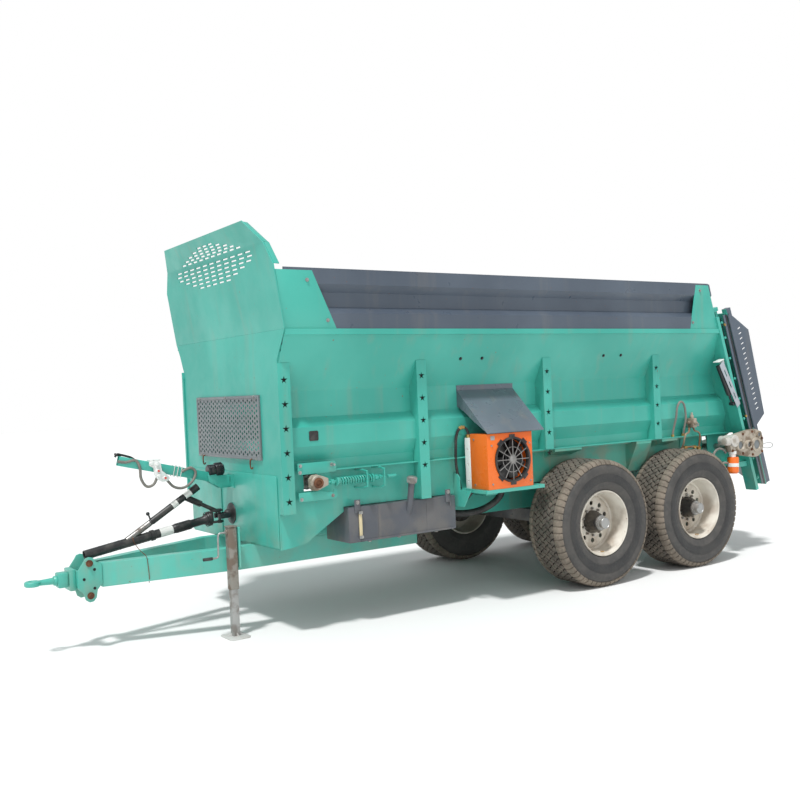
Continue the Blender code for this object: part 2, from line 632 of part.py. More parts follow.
# ---------------------------------------------------------------- running gear
BEAD_RADIUS = 0.299
TYRE_RISE = TYRE_RADIUS - BEAD_RADIUS
TYRE_WALL = tuple((BEAD_RADIUS + TYRE_RISE * share, across) for share, across in
                  ((1.0, 0.125), (257 / 276, 0.188), (206 / 276, 0.220), (131 / 276, 0.226), (61 / 276, 0.215),
                   (0.0, 0.196)))
TYRE_PROFILE = (TYRE_WALL[:1] + tuple((radius, -across) for radius, across in TYRE_WALL)
                + ((BEAD_RADIUS, -0.1700), (0.2860, -0.1700), (0.2860, 0.1700), (BEAD_RADIUS, 0.1700))
                + TYRE_WALL[:0:-1])
RIM_PROFILE = ((0.2985, 0.1950), (0.2985, 0.1703), (0.2857, 0.1703), (0.2700, 0.0600), (0.2640, -0.0400),
               (0.2857, -0.1703), (0.2985, -0.1703), (0.2985, -0.1950), (0.2880, -0.1950), (0.2760, -0.1650),
               (0.2540, -0.0480), (0.2120, -0.0500), (0.2120, -0.1850), (0.1980, -0.1850), (0.1980, -0.0600),
               (0.0850, -0.0600), (0.0850, -0.1200), (SPINDLE_RADIUS + BORE_CLEARANCE, -0.1200),
               (SPINDLE_RADIUS + BORE_CLEARANCE, SPINDLE_DEPTH), (0.0, SPINDLE_DEPTH), (0.0, 0.1150),
               (0.0600, 0.1150), (0.0720, 0.1000), (0.0850, 0.0100), (0.1150, -0.0300), (0.2460, -0.0300),
               (0.2600, 0.0500), (0.2770, 0.1650), (0.2880, 0.1950))


def build_wheels():
    """Two axles on bogie springs, each with a wide tyre and deep rim on either end."""
    for place, station in AXLE_STATIONS.items():
        half = AXLE_BEAM / 2
        axle = box(f"axle_{place}", (-station - half, -AXLE_BEAM_HALF, TYRE_RADIUS - half),
                   (-station + half, AXLE_BEAM_HALF, TYRE_RADIUS + half), TEAL)
        reach = WHEEL_TRACK_HALF + SPINDLE_DEPTH - BORE_CLEARANCE
        spindle = rod("spindle", (-station, -reach, TYRE_RADIUS), 2 * reach, SPINDLE_RADIUS, "Y", STEEL, sides=24)
        join(axle, spindle)
        for side_name, side in sides():
            for kind, profile, material in (("tyre", TYRE_PROFILE, RUBBER), ("rim", RIM_PROFILE, CREAM)):
                piece = turned(f"{kind}_{place}_{side_name}", profile, 40, material)
                piece.location = (-station, side * WHEEL_TRACK_HALF, TYRE_RADIUS)
                piece.rotation_euler = (-side * math.pi / 2, 0.0, 0.0)

    front, rear = -AXLE_STATIONS["front"], -AXLE_STATIONS["rear"]
    middle = (front + rear) / 2
    seat = TYRE_RADIUS + AXLE_BEAM / 2 + FIT
    crown = RAIL_BOTTOM - FIT
    leaves = [(front + 0.09, seat), (front + 0.09, seat + 0.022), (middle + 0.22, crown), (middle - 0.22, crown),
              (rear - 0.09, seat + 0.022), (rear - 0.09, seat), (rear + 0.08, seat), (middle - 0.22, crown - 0.045),
              (middle + 0.22, crown - 0.045), (front - 0.08, seat)]
    for side_name, side in sides():
        flat(f"bogie_spring_{side_name}", leaves, 0.080, "XZ", side * (RAIL_OUTER - RAIL_WIDTH / 2), STEEL)


# ---------------------------------------------------------------- floor conveyor
def build_conveyor():
    """Chain and slat conveyor on the floor, with its front and rear shafts and the spring tensioners."""
    front = -0.160
    rear = rear_edge_at(FLOOR_HEIGHT) + 0.120
    count = int((front - rear) / SLAT_PITCH)
    pitch = (front - rear) / count
    chains = (-CONVEYOR_HALF, -CONVEYOR_HALF / 3, CONVEYOR_HALF / 3, CONVEYOR_HALF)
    holes = []
    for bay in range(count):
        ahead = front - bay * pitch - SLAT_WIDTH / 2
        behind = front - (bay + 1) * pitch + SLAT_WIDTH / 2
        for inner, outer in zip(chains, chains[1:]):
            low, high = inner + CHAIN_WIDTH / 2, outer - CHAIN_WIDTH / 2
            holes.append([(behind, low), (ahead, low), (ahead, high), (behind, high)])
    edge = CONVEYOR_HALF + CHAIN_WIDTH / 2
    ends = SLAT_WIDTH / 2
    outline = [(rear - ends, -edge), (front + ends, -edge), (front + ends, edge), (rear - ends, edge)]
    flat("floor_conveyor", outline, CONVEYOR_THICK, "XY", FLOOR_HEIGHT + FIT + CONVEYOR_THICK / 2, STEEL, holes=holes)

    station, height = FRONT_SHAFT
    tall = BEARING_SLOT[1] - FIT
    shaft = rod("conveyor_front_shaft", (station, -0.905, height), 1.810, SHAFT_RADIUS, "Y", STEEL)
    tools = []
    for _, side in sides():
        face = min(side * 0.858, side * 0.938)
        tools.append(box("bearing", (station - 0.052, face, height - tall), (station + 0.052, face + 0.080,
                         height + tall), STEEL))
        tools.append(rod("tension_rod", (TENSION_ROD_END, side * 0.915, height - 0.008),
                         station - TENSION_ROD_END, 0.011, "X", STEEL, sides=12))
        tools.append(rod("tension_spring", (-0.800, side * 0.915, height - 0.008), 0.340, 0.030, "X", TEAL))
    join(shaft, *tools)



# ---------------------------------------------------------------- oil tank and cooler
def build_oil_system():
    """Oil tank under the left sill, and the oil cooler with its fan, shelf and canopy."""
    low, high = TANK
    tank = box("oil_tank", low, high, SLATE)
    filler = strut("filler_pipe", (-1.130, 0.900, 0.880), (-1.135, 0.975, 1.110), 0.020, SLATE)
    cap = strut("filler_cap", (-1.1345, 0.972, 1.100), (-1.1365, 0.988, 1.150), 0.034, GREY)
    tabs = [box("tank_tab", (station - 0.030, 0.8655, 0.900), (station + 0.030, 0.8735, 1.000), SLATE)
            for station in (-0.640, -1.520)]
    join(tank, filler, cap, *tabs)

    low, high = COOLER
    cooler = box("oil_cooler", low, high, ORANGE)
    core = box("cooler_core", (low[0] + 0.01, COOLER_CORE_INNER, low[2] + 0.01), (high[0] - 0.008, low[1] + 0.01,
               high[2] - 0.04), GREY)
    station, height = FAN_CENTRE
    pocket = rod("fan_pocket", (station, high[1] - FAN_POCKET_DEPTH, height), 0.2, FAN_POCKET, "Y", BLACK, sides=40)
    join(cooler, core)
    cut(cooler, pocket)

    blades = []
    for number in range(FAN_BLADES):
        start = 2 * math.pi * number / FAN_BLADES
        for radius, turn in ((0.045, 0.0), (FAN_RADIUS, 0.10), (FAN_RADIUS, 0.52), (0.045, 0.62)):
            blades.append((radius * math.cos(start + turn), radius * math.sin(start + turn)))
    middle = high[1] - 0.030
    fan = flat("cooler_fan", blades, 0.012, "XZ", 0.0, BLACK)
    hub_start = high[1] - FAN_POCKET_DEPTH + FIT
    hub = rod("fan_hub", (station, hub_start, height), high[1] - 0.015 - hub_start, 0.050, "Y", BLACK, sides=24)
    fan.location = (station, middle, height)
    join(fan, hub)

    low, high = SHELF
    shelf = box("cooler_shelf", low, high, TEAL)
    bracket = flat("shelf_bracket", [(0.8655, 0.850), (0.8655, 1.130), (0.915, 1.130), (0.950, 1.090),
                                     (0.950, 0.990), (1.100, 0.990), (1.000, 0.850)], 0.008, "YZ", -1.640, TEAL)
    bridge = box("shelf_bridge", (-1.710, 0.8655, 0.968), (-1.636, 0.950, 0.988), TEAL)
    join(shelf, bridge, bracket)

    front, rear = CANOPY_SPAN[1], CANOPY_SPAN[0]
    seat = WALL_PROFILE[1][0] + FIT
    edge_half, edge_height = CANOPY_EDGE
    fold_height = 1.828
    strip = [(seat, 1.870), (seat + CANOPY_SHEET, 1.870), (seat + CANOPY_SHEET, fold_height),
             (edge_half, edge_height), (edge_half - 0.004, edge_height - 0.006), (seat, fold_height - 0.006)]
    canopy = flat("cooler_canopy", strip, front - rear, "YZ", (front + rear) / 2, SLATE)
    gusset = [(seat, 1.830), (seat, 1.690), (0.940, 1.650), (1.080, 1.560), (edge_half - 0.006, edge_height + 0.002)]
    gussets = [flat("canopy_gusset", gusset, 0.004, "YZ", station, SLATE)
               for station in (front - 0.0025, rear + 0.0025)]
    join(canopy, *gussets)


# ---------------------------------------------------------------- driveline
def build_driveline():
    """Front power shaft with its joint, the hose arm, and the line that runs below the floor."""
    joint = (0.130, 0.0, 0.885)
    tube = strut("pto_shaft", (1.215, 0.010, 0.707), joint, 0.036, BLACK)
    yoke = strut("pto_yoke", (0.230, 0.001, 0.868), (0.060, 0.0, 0.886), 0.058, BLACK)
    stub = strut("pto_stub", (0.100, 0.0, 0.885), (FIT, 0.0, 0.885), 0.050, BLACK)
    stowed = strut("pto_stowed_half", (0.900, 0.006, 0.770), (0.290, 0.0, 1.1425), 0.026, BLACK)
    link = strut("pto_link", (0.410, 0.0, 1.085), (0.120, 0.0, 0.900), 0.020, BLACK)
    join(tube, yoke, stub, stowed, link)

    start, end = Vector((0.060, 0.0, 1.178)), Vector((0.925, 0.0, 1.398))
    arm = beam("hose_arm", start, end, 0.050, 0.075, TEAL)
    foot = box("arm_foot", (FIT, -0.060, 1.125), (0.140, 0.060, 1.215), TEAL)
    join(arm, foot)

    line = rod("driveline_shaft", (-5.430, 0.0, 0.800), 5.430 - SHEET - FIT, 0.030, "X", STEEL)
    return line


def build_rear_drive():
    """Conveyor's rear shaft with the cast motor block that drives it at the left."""
    station, height = REAR_SHAFT
    shaft = rod("conveyor_rear_shaft", (station, -0.950, height), 1.950, SHAFT_RADIUS, "Y", STEEL)
    block = flat("conveyor_drive", DRIVE_OUTLINE, 0.082, "XZ", 1.134, CAST)
    neck = rod("drive_neck", (station, 0.900, height), 0.220, 0.060, "Y", CAST)
    motor = rod("drive_motor", (-4.965, 0.985, 1.200), 0.200, 0.062, "Y", CAST)
    boss = rod("drive_gearbox", (-5.000, 1.060, 0.860), 0.200, 0.058, "Z", ORANGE)
    join(shaft, block, neck, motor, boss)


def build_hoses():
    """Two hydraulic hoses that hang free between their fittings."""
    hose("front_hose", smooth_path(FRONT_HOSE, 5), HOSE_RADIUS, RUBBER)
    hose("rear_hose", smooth_path(REAR_HOSE, 5), HOSE_RADIUS, RUBBER)


# ---------------------------------------------------------------- rear unit, built upright in its leaning empty
def build_columns():
    """Both columns with the gate's guides, the gate cylinders inside them and the flap posts behind."""
    front_lip = GATE_FRONT + GATE_SLOT
    slot_rear = GATE_FRONT - GATE_THICK - GATE_SLOT
    slot_end = GATE_HALF + 0.0015
    cylinder_back = -COLUMN_DEPTH + 0.075
    cylinder_half = COLUMN_INNER + COLUMN_WEB + CYLINDER_RADIUS - 0.002
    for side_name, side in sides():
        outline = [(-FIT, COLUMN_INNER), (front_lip, COLUMN_INNER), (front_lip, slot_end), (slot_rear, slot_end),
                   (slot_rear, COLUMN_INNER), (-COLUMN_DEPTH, COLUMN_INNER), (-COLUMN_DEPTH, COLUMN_OUTER),
                   (-COLUMN_DEPTH + COLUMN_WEB, COLUMN_OUTER), (-COLUMN_DEPTH + COLUMN_WEB, COLUMN_INNER + COLUMN_WEB),
                   (slot_rear - COLUMN_WEB, COLUMN_INNER + COLUMN_WEB), (slot_rear - COLUMN_WEB, COLUMN_OUTER),
                   (-FIT, COLUMN_OUTER)]
        outline = [(back, side * across) for back, across in outline]
        column = flat(f"rear_column_{side_name}", outline, COLUMN_HEIGHT, "XY", COLUMN_HEIGHT / 2, TEAL, rear_unit)
        low, high = CYLINDER_SPAN
        barrel = rod("gate_cylinder", (cylinder_back, side * cylinder_half, low), high - low, CYLINDER_RADIUS, "Z",
                     GREY, rear_unit)
        bore = rod("cylinder_bore", (cylinder_back, side * cylinder_half, low + 0.02), high - low + 0.1,
                   CYLINDER_BORE, "Z", GREY, rear_unit)
        deep, wide = POST_SIZE
        middle = side * (COLUMN_OUTER - 0.001 - wide / 2)
        post = box("flap_post", (-COLUMN_DEPTH - deep, middle - wide / 2, 0.010),
                   (-COLUMN_DEPTH + 0.002, middle + wide / 2, COLUMN_HEIGHT + 0.040), TEAL, rear_unit)
        join(column, barrel, post)
        cut(column, bore)


def build_gate():
    """Sliding gate with its two lifting arms and cylinder rods."""
    arm_low, arm_high = 0.905, 0.945
    top = COLUMN_HEIGHT + 0.085
    tab = COLUMN_HEIGHT + 0.045
    reach = COLUMN_INNER + COLUMN_WEB + CYLINDER_RADIUS - 0.002
    half = [(GATE_HALF, GATE_BOTTOM), (GATE_HALF, GATE_TOP), (arm_high, GATE_TOP), (arm_high, tab),
            (reach + 0.030, tab), (reach + 0.030, top), (arm_low, top), (arm_low, GATE_TOP)]
    outline = half + [(-across, up) for across, up in reversed(half)]
    gate = flat("rear_gate", outline, GATE_THICK, "YZ", GATE_FRONT - GATE_THICK / 2, TEAL, rear_unit)
    cylinder_back = -COLUMN_DEPTH + 0.075
    tools = []
    for _, side in sides():
        tools.append(box("rod_clevis", (cylinder_back - 0.025, side * reach - 0.025, tab), (GATE_FRONT - 0.004,
                         side * reach + 0.025, top - 0.001), TEAL, rear_unit))
        tools.append(rod("cylinder_rod", (cylinder_back, side * reach, CYLINDER_SPAN[0] + 0.030),
                         tab + 0.010 - CYLINDER_SPAN[0] - 0.030, ROD_RADIUS, "Z", STEEL, rear_unit, sides=16))
    tools.append(box("gate_head", (GATE_FRONT - 0.002, -0.820, GATE_TOP - 0.060), (GATE_FRONT + 0.030, 0.820,
                     GATE_TOP), TEAL, rear_unit))
    join(gate, *tools)


def helix_blade(name, turns, base, height, inner, outer, handed, parent):
    """One spiral flight as a closed ribbon about Z."""
    steps = int(20 * turns)

    def build(bm):
        rows = []
        for step in range(steps + 1):
            angle = handed * 2 * math.pi * turns * step / steps
            level = base + height * step / steps
            rows.append([bm.verts.new((radius * math.cos(angle), radius * math.sin(angle), level + lift))
                         for radius, lift in ((inner, 0.0), (outer, 0.0), (outer, 0.012), (inner, 0.012))])
        for first, second in zip(rows, rows[1:]):
            for corner in range(4):
                following = (corner + 1) % 4
                bm.faces.new((first[corner], first[following], second[following], second[corner]))
        bm.faces.new(rows[0])
        bm.faces.new(rows[-1])
        bmesh.ops.triangulate(bm, faces=bm.faces)
        bmesh.ops.recalc_face_normals(bm, faces=bm.faces)

    return add(name, mesh_from(build), TEAL, parent)


def build_beaters():
    """Two vertical beaters with spreading discs, between a gear beam below and a top beam."""
    beam_low, beam_high = GEAR_BEAM
    top_low, top_high = TOP_BEAM
    for side_name, side in sides():
        handed = side
        axis = (-BEATER_BACK, side * BEATER_OFFSET)
        beater = rod(f"beater_{side_name}", (*axis, 0.290), 1.350, BEATER_TUBE, "Z", TEAL, rear_unit, sides=24)
        shaft = rod("beater_shaft", (*axis, beam_high + FIT), top_low - beam_high - 2 * FIT, BEATER_SHAFT, "Z", TEAL,
                    rear_unit, sides=16)
        disc = rod("spreading_disc", (*axis, DISC_SPAN[0]), DISC_SPAN[1] - DISC_SPAN[0], DISC_RADIUS, "Z", TEAL,
                   rear_unit, sides=48)
        flight = helix_blade("flight", 1.75, 0.345 + 0.05, 1.18, BEATER_TUBE - 0.02, BEATER_RADIUS, handed, rear_unit)
        flight.location = (*axis, 0.0)
        join(beater, shaft, disc, flight)

    half = [(-0.010, COLUMN_INNER - FIT), (-0.150, COLUMN_INNER - FIT), (-0.450, 0.600)]
    front = [(-0.250, 0.600)]
    outline = [(back, across) for back, across in half] + [(back, -across) for back, across in reversed(half)]
    outline += [(back, -across) for back, across in front] + front
    outline = [(back - 0.040, across) for back, across in outline]
    flat("gear_beam", outline, beam_high - beam_low, "XY", (beam_low + beam_high) / 2, TEAL, rear_unit)

    face = -COLUMN_DEPTH - FIT
    outline = [(face, 1.000), (face - 0.055, 1.000), (face - 0.055, 0.760), (-BEATER_BACK - 0.080, 0.600)]
    outline += [(back, -across) for back, across in reversed(outline)]
    flat("top_beam", outline, top_high - top_low, "XY", (top_low + top_high) / 2, TEAL, rear_unit)


def build_flaps():
    """Side flaps hinged on the outer rear edge of each column, beside the beaters."""
    hinge_back = COLUMN_DEPTH - COLUMN_WEB / 2
    hinge_half = COLUMN_OUTER + FIT + HINGE_RADIUS
    low, high = FLAP_SPAN
    outline = [(-0.004, low), (-0.004, high), (-0.020, high), (-FLAP_REACH, high - 0.245),
               (-FLAP_REACH + 0.050, low + 0.090)]
    for side_name, side in sides():
        flap = flat(f"side_flap_{side_name}", outline, FLAP_THICK, "XZ", 0.0, SLATE, rear_unit)
        flap.location = (-hinge_back, side * hinge_half, 0.0)
        barrel = rod("flap_hinge", (-hinge_back, side * hinge_half, low + 0.010), high - low - 0.020, HINGE_RADIUS,
                     "Z", SLATE, rear_unit, sides=24)
        join(flap, barrel)


build_hopper()
build_posts()
build_front()
build_extensions()
build_chassis()
build_jack()
build_wheels()
build_conveyor()
build_oil_system()
build_driveline()
build_rear_drive()
build_hoses()
build_columns()
build_gate()
build_beaters()
build_flaps()
bpy.context.view_layer.update()
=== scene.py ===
"""Finished look of a towed tandem-axle manure spreader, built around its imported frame.

Lengths are in metres. Pieces are drawn in the machine's own coordinates, where X = 0 is the outer face of
the hopper's front wall, +X runs to the drawbar, +Y to the machine's left and Z = 0 is the ground. The rear
unit is drawn upright in its own coordinates, which lean forward at the top.
"""

import logging
import math
from dataclasses import dataclass, field
from enum import Enum
from typing import Iterable, Sequence

import bmesh
import bpy
from mathutils import Matrix, Quaternion, Vector


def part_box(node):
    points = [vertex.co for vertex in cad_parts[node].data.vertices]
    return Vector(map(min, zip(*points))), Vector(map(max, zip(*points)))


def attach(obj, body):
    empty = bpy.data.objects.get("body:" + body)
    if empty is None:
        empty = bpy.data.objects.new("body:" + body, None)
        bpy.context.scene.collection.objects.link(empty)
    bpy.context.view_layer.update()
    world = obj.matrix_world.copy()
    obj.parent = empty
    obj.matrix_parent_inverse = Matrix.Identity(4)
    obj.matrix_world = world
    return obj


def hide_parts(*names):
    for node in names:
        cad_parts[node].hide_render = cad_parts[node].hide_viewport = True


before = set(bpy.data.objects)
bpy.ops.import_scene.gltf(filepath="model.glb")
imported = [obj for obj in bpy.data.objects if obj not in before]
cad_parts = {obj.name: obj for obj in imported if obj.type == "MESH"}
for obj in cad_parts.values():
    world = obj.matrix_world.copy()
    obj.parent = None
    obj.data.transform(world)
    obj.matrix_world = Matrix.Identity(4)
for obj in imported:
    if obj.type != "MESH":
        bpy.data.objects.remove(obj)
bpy.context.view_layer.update()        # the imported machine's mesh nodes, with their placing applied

LOG = logging.getLogger("spreader")
MACHINE_BODY = "machine"
LEAN = math.radians(17.0)
REAR_BASE = (-5.418825, 0.0, 0.64)
TURN = 2.0 * math.pi
AXLE_STATIONS = {"front": -3.037, "rear": -4.333}
CHAIN_OFFSETS = (-0.8, -0.267, 0.267, 0.8)
CAMERA_PLACE = (3.261, 7.541, 1.855)
CAMERA_AXES = ((-0.81784, 0.5739, -0.04217), (-0.04849, 0.00429, 0.99881), (0.5734, 0.81891, 0.02432))
SUNS = (("key", 2.75, 6.0, (0.33, 0.24, 0.91)), ("fill", 0.45, 60.0, (0.3, 0.9, 0.3)))

Triple = tuple[float, float, float]
Pair = tuple[float, float]


class Plane(Enum):
    """The plane that a flat outline is drawn in."""

    XY = "XY"
    XZ = "XZ"
    YZ = "YZ"

    def lift(self, across: float, up: float, off: float) -> Vector:
        """Turns an outline's two numbers and a distance off the plane into a point."""
        if self is Plane.XY:
            return Vector((across, up, off))
        if self is Plane.XZ:
            return Vector((across, off, up))
        return Vector((off, across, up))


class Side(Enum):
    """A side of the machine, with the sign of its Y."""

    LEFT = 1.0
    RIGHT = -1.0

    @property
    def word(self) -> str:
        """The side's name as the frame's nodes have it."""
        return self.name.lower()


class Spot(Enum):
    """The coordinates that a piece is drawn in."""

    MACHINE = "machine"
    REAR_UNIT = "rear_unit"


# ---------------------------------------------------------------- finishes
class Graph:
    """A material's node tree while it is being wired."""

    def __init__(self, name: str) -> None:
        """Starts a material with one Principled shader."""
        self.material = bpy.data.materials.new(name)
        self.material.use_nodes = True
        self.tree = self.material.node_tree
        self.shader = self.tree.nodes["Principled BSDF"]
        self.coords = self.tree.nodes.new("ShaderNodeTexCoord").outputs["Object"]

    def set(self, **values: float | Sequence[float]) -> None:
        """Sets the shader's own sockets; an underscore in a name stands for a space."""
        for name, value in values.items():
            self.shader.inputs[name.replace("_", " ")].default_value = value

    def link(self, start: bpy.types.NodeSocket, end: bpy.types.NodeSocket | str) -> None:
        """Wires an output to a socket, or to the shader's socket of that name."""
        self.tree.links.new(start, self.shader.inputs[end] if isinstance(end, str) else end)

    def noise(self, scale: float, detail: float = 3.0, stretch: Triple | None = None) -> bpy.types.NodeSocket:
        """Noise on Object coordinates.

        Args:
            scale: repeats per metre.
            detail: number of octaves.
            stretch: scale of each axis, for streaks.

        Returns:
            The noise's value, about 0.3 to 0.7.
        """
        node = self.tree.nodes.new("ShaderNodeTexNoise")
        node.inputs["Scale"].default_value = scale
        node.inputs["Detail"].default_value = detail
        source = self.coords
        if stretch is not None:
            mapping = self.tree.nodes.new("ShaderNodeMapping")
            mapping.inputs["Scale"].default_value = stretch
            self.tree.links.new(source, mapping.inputs["Vector"])
            source = mapping.outputs["Vector"]
        self.tree.links.new(source, node.inputs["Vector"])
        return node.outputs["Fac"]

    def height(self) -> bpy.types.NodeSocket:
        """Height above the ground."""
        node = self.tree.nodes.new("ShaderNodeSeparateXYZ")
        self.tree.links.new(self.coords, node.inputs["Vector"])
        return node.outputs["Z"]

    def span(self, value: bpy.types.NodeSocket, low: float, high: float, start: float = 0.0,
             end: float = 1.0) -> bpy.types.NodeSocket:
        """Maps low..high smoothly to start..end, clamped."""
        node = self.tree.nodes.new("ShaderNodeMapRange")
        node.interpolation_type = "SMOOTHSTEP"
        for name, number in (("From Min", low), ("From Max", high), ("To Min", start), ("To Max", end)):
            node.inputs[name].default_value = number
        self.tree.links.new(value, node.inputs["Value"])
        return node.outputs["Result"]

    def times(self, first: bpy.types.NodeSocket, second: bpy.types.NodeSocket) -> bpy.types.NodeSocket:
        """Product of two values."""
        node = self.tree.nodes.new("ShaderNodeMath")
        node.operation = "MULTIPLY"
        self.tree.links.new(first, node.inputs[0])
        self.tree.links.new(second, node.inputs[1])
        return node.outputs["Value"]

    def mix(self, factor: bpy.types.NodeSocket, first: bpy.types.NodeSocket | Triple,
            second: bpy.types.NodeSocket | Triple) -> bpy.types.NodeSocket:
        """Blends two colours, each a socket or three numbers."""
        node = self.tree.nodes.new("ShaderNodeMix")
        node.data_type = "RGBA"
        self.tree.links.new(factor, node.inputs["Factor"])
        for socket, colour in ((node.inputs[6], first), (node.inputs[7], second)):
            if isinstance(colour, bpy.types.NodeSocket):
                self.tree.links.new(colour, socket)
            else:
                socket.default_value = (*colour, 1.0)
        return node.outputs[2]

    def bump(self, value: bpy.types.NodeSocket, distance: float, strength: float = 1.0,
             below: bpy.types.NodeSocket | None = None) -> bpy.types.NodeSocket:
        """A bump from a value, on top of another normal."""
        node = self.tree.nodes.new("ShaderNodeBump")
        node.inputs["Distance"].default_value = distance
        node.inputs["Strength"].default_value = strength
        self.tree.links.new(value, node.inputs["Height"])
        if below is not None:
            self.tree.links.new(below, node.inputs["Normal"])
        return node.outputs["Normal"]


@dataclass(frozen=True)
class Paint:
    """Sprayed paint on sheet steel, faded in patches, with dust below and a few rust freckles."""

    name: str
    slot: str
    colour: Triple
    faded: Triple
    roughness: float = 0.36
    dust: float = 0.45
    streaks: float = 0.16
    coat: float = 0.12
    dirt: Triple = (0.3, 0.25, 0.18)
    rust: Triple = (0.2, 0.075, 0.025)
    dust_top: float = 1.25

    def material(self) -> bpy.types.Material:
        """Wires the paint's nodes."""
        graph = Graph(self.name)
        graph.set(Coat_Weight=self.coat, Coat_Roughness=0.22)
        patch = graph.span(graph.noise(1.1, 4.0), 0.35, 0.68)
        colour = graph.mix(patch, self.colour, self.faded)
        runs = graph.span(graph.noise(1.0, 5.0, (9.0, 9.0, 0.55)), 0.53, 0.74, 0.0, self.streaks)
        colour = graph.mix(runs, colour, self.dirt)
        low = graph.span(graph.height(), self.dust_top, 0.35, 0.0, self.dust)
        dusty = graph.times(low, graph.span(graph.noise(5.0, 6.0), 0.38, 0.66))
        colour = graph.mix(dusty, colour, self.dirt)
        freckles = graph.span(graph.noise(38.0, 6.0), 0.7, 0.76, 0.0, 0.75)
        colour = graph.mix(freckles, colour, self.rust)
        graph.link(colour, "Base Color")
        graph.link(graph.span(graph.noise(6.0, 5.0), 0.3, 0.7, self.roughness - 0.07, self.roughness + 0.12),
                   "Roughness")
        waves = graph.bump(graph.noise(1.7, 1.0), 0.01, 0.3)
        graph.link(graph.bump(graph.noise(240.0, 2.0), 0.0004, 0.35, waves), "Normal")
        return graph.material


@dataclass(frozen=True)
class Rubber:
    """Black rubber with dry soil in its grain."""

    name: str
    slot: str
    colour: Triple
    dust: Triple
    amount: float
    grain: float = 60.0
    roughness: float = 0.8

    def material(self) -> bpy.types.Material:
        """Wires the rubber's nodes."""
        graph = Graph(self.name)
        graph.set(Specular_IOR_Level=0.32)
        soil = graph.span(graph.noise(7.0, 7.0), 0.4, 0.64, 0.0, self.amount)
        colour = graph.mix(soil, self.colour, self.dust)
        specks = graph.span(graph.noise(self.grain, 5.0), 0.45, 0.68, 0.0, self.amount * 0.8)
        graph.link(graph.mix(specks, colour, self.dust), "Base Color")
        graph.link(graph.span(soil, 0.0, 1.0, self.roughness - 0.15, self.roughness + 0.1), "Roughness")
        graph.link(graph.bump(graph.noise(self.grain * 3.0, 4.0), 0.0008, 0.5), "Normal")
        return graph.material


@dataclass(frozen=True)
class Metal:
    """Bare, cast or plated metal with stains."""

    name: str
    slot: str
    colour: Triple
    stain: Triple
    stained: float
    roughness: float
    metallic: float = 0.9
    grain: float = 45.0

    def material(self) -> bpy.types.Material:
        """Wires the metal's nodes."""
        graph = Graph(self.name)
        stain = graph.span(graph.noise(11.0, 7.0), 0.46, 0.62, 0.0, self.stained)
        graph.link(graph.mix(stain, self.colour, self.stain), "Base Color")
        graph.link(graph.span(stain, 0.0, 1.0, self.roughness, min(0.95, self.roughness + 0.45)), "Roughness")
        graph.link(graph.span(stain, 0.0, 1.0, self.metallic, self.metallic * 0.25), "Metallic")
        graph.link(graph.bump(graph.noise(self.grain, 5.0), 0.0012, 0.4), "Normal")
        return graph.material


@dataclass(frozen=True)
class Plastic:
    """Moulded plastic or a plain label, with fine grain and a little dust."""

    name: str
    slot: str
    colour: Triple
    dust: Triple = (0.25, 0.23, 0.2)
    amount: float = 0.15
    roughness: float = 0.42

    def material(self) -> bpy.types.Material:
        """Wires the plastic's nodes."""
        graph = Graph(self.name)
        dusty = graph.span(graph.noise(14.0, 5.0), 0.42, 0.7, 0.0, self.amount)
        graph.link(graph.mix(dusty, self.colour, self.dust), "Base Color")
        graph.link(graph.span(dusty, 0.0, 1.0, self.roughness, self.roughness + 0.35), "Roughness")
        graph.link(graph.bump(graph.noise(300.0, 2.0), 0.0003, 0.4), "Normal")
        return graph.material


Finish = Paint | Rubber | Metal | Plastic

TURQUOISE = Paint("turquoise_paint", "teal_paint", (0.042, 0.37, 0.298), (0.066, 0.445, 0.362))
TURQUOISE_CHASSIS = Paint("turquoise_chassis", "teal_paint", (0.058, 0.395, 0.318), (0.095, 0.465, 0.382),
                          dust=0.3, streaks=0.22, dust_top=0.9)
TURQUOISE_INSIDE = Paint("turquoise_inside", "teal_paint", (0.05, 0.4, 0.3), (0.11, 0.42, 0.33),
                         roughness=0.5, dust=0.75, streaks=0.5, dust_top=2.3)
SLATE = Paint("slate_paint", "slate_paint", (0.07, 0.09, 0.12), (0.095, 0.12, 0.155), roughness=0.34,
              dust=0.3, streaks=0.1)
SLATE_DULL = Paint("slate_tank", "slate_paint", (0.075, 0.082, 0.098), (0.1, 0.108, 0.125), roughness=0.42,
                   dust=0.35, streaks=0.2)
ORANGE = Paint("orange_paint", "orange_paint", (0.74, 0.11, 0.007), (0.82, 0.16, 0.011), roughness=0.33,
               dust=0.1, streaks=0.05)
CREAM = Paint("cream_rim", "rim_cream", (0.64, 0.6, 0.52), (0.74, 0.7, 0.62), roughness=0.38, dust=0.55,
              streaks=0.2, dirt=(0.23, 0.15, 0.09), dust_top=1.4)
CANOPY = Paint("canopy_paint", "slate_paint", (0.095, 0.115, 0.14), (0.14, 0.165, 0.195), roughness=0.3,
               dust=0.15, streaks=0.15)
WHITE = Paint("white_paint", "grey_paint", (0.74, 0.75, 0.73), (0.8, 0.8, 0.78), dust=0.25, streaks=0.12)
BLACK_PAINT = Paint("black_paint", "black_paint", (0.01, 0.011, 0.014), (0.022, 0.023, 0.027), roughness=0.32,
                    dust=0.22, streaks=0.08)
GREY_SCREEN = Paint("grey_screen", "grey_paint", (0.15, 0.17, 0.18), (0.21, 0.23, 0.24), roughness=0.4,
                    dust=0.2, streaks=0.15)
TREAD = Rubber("tyre_tread", "tyre_rubber", (0.1, 0.088, 0.075), (0.19, 0.16, 0.128), 0.55, 55.0, 0.88)
SHOULDER = Rubber("tyre_shoulder", "tyre_rubber", (0.16, 0.135, 0.108), (0.27, 0.225, 0.18), 0.6, 45.0, 0.88)
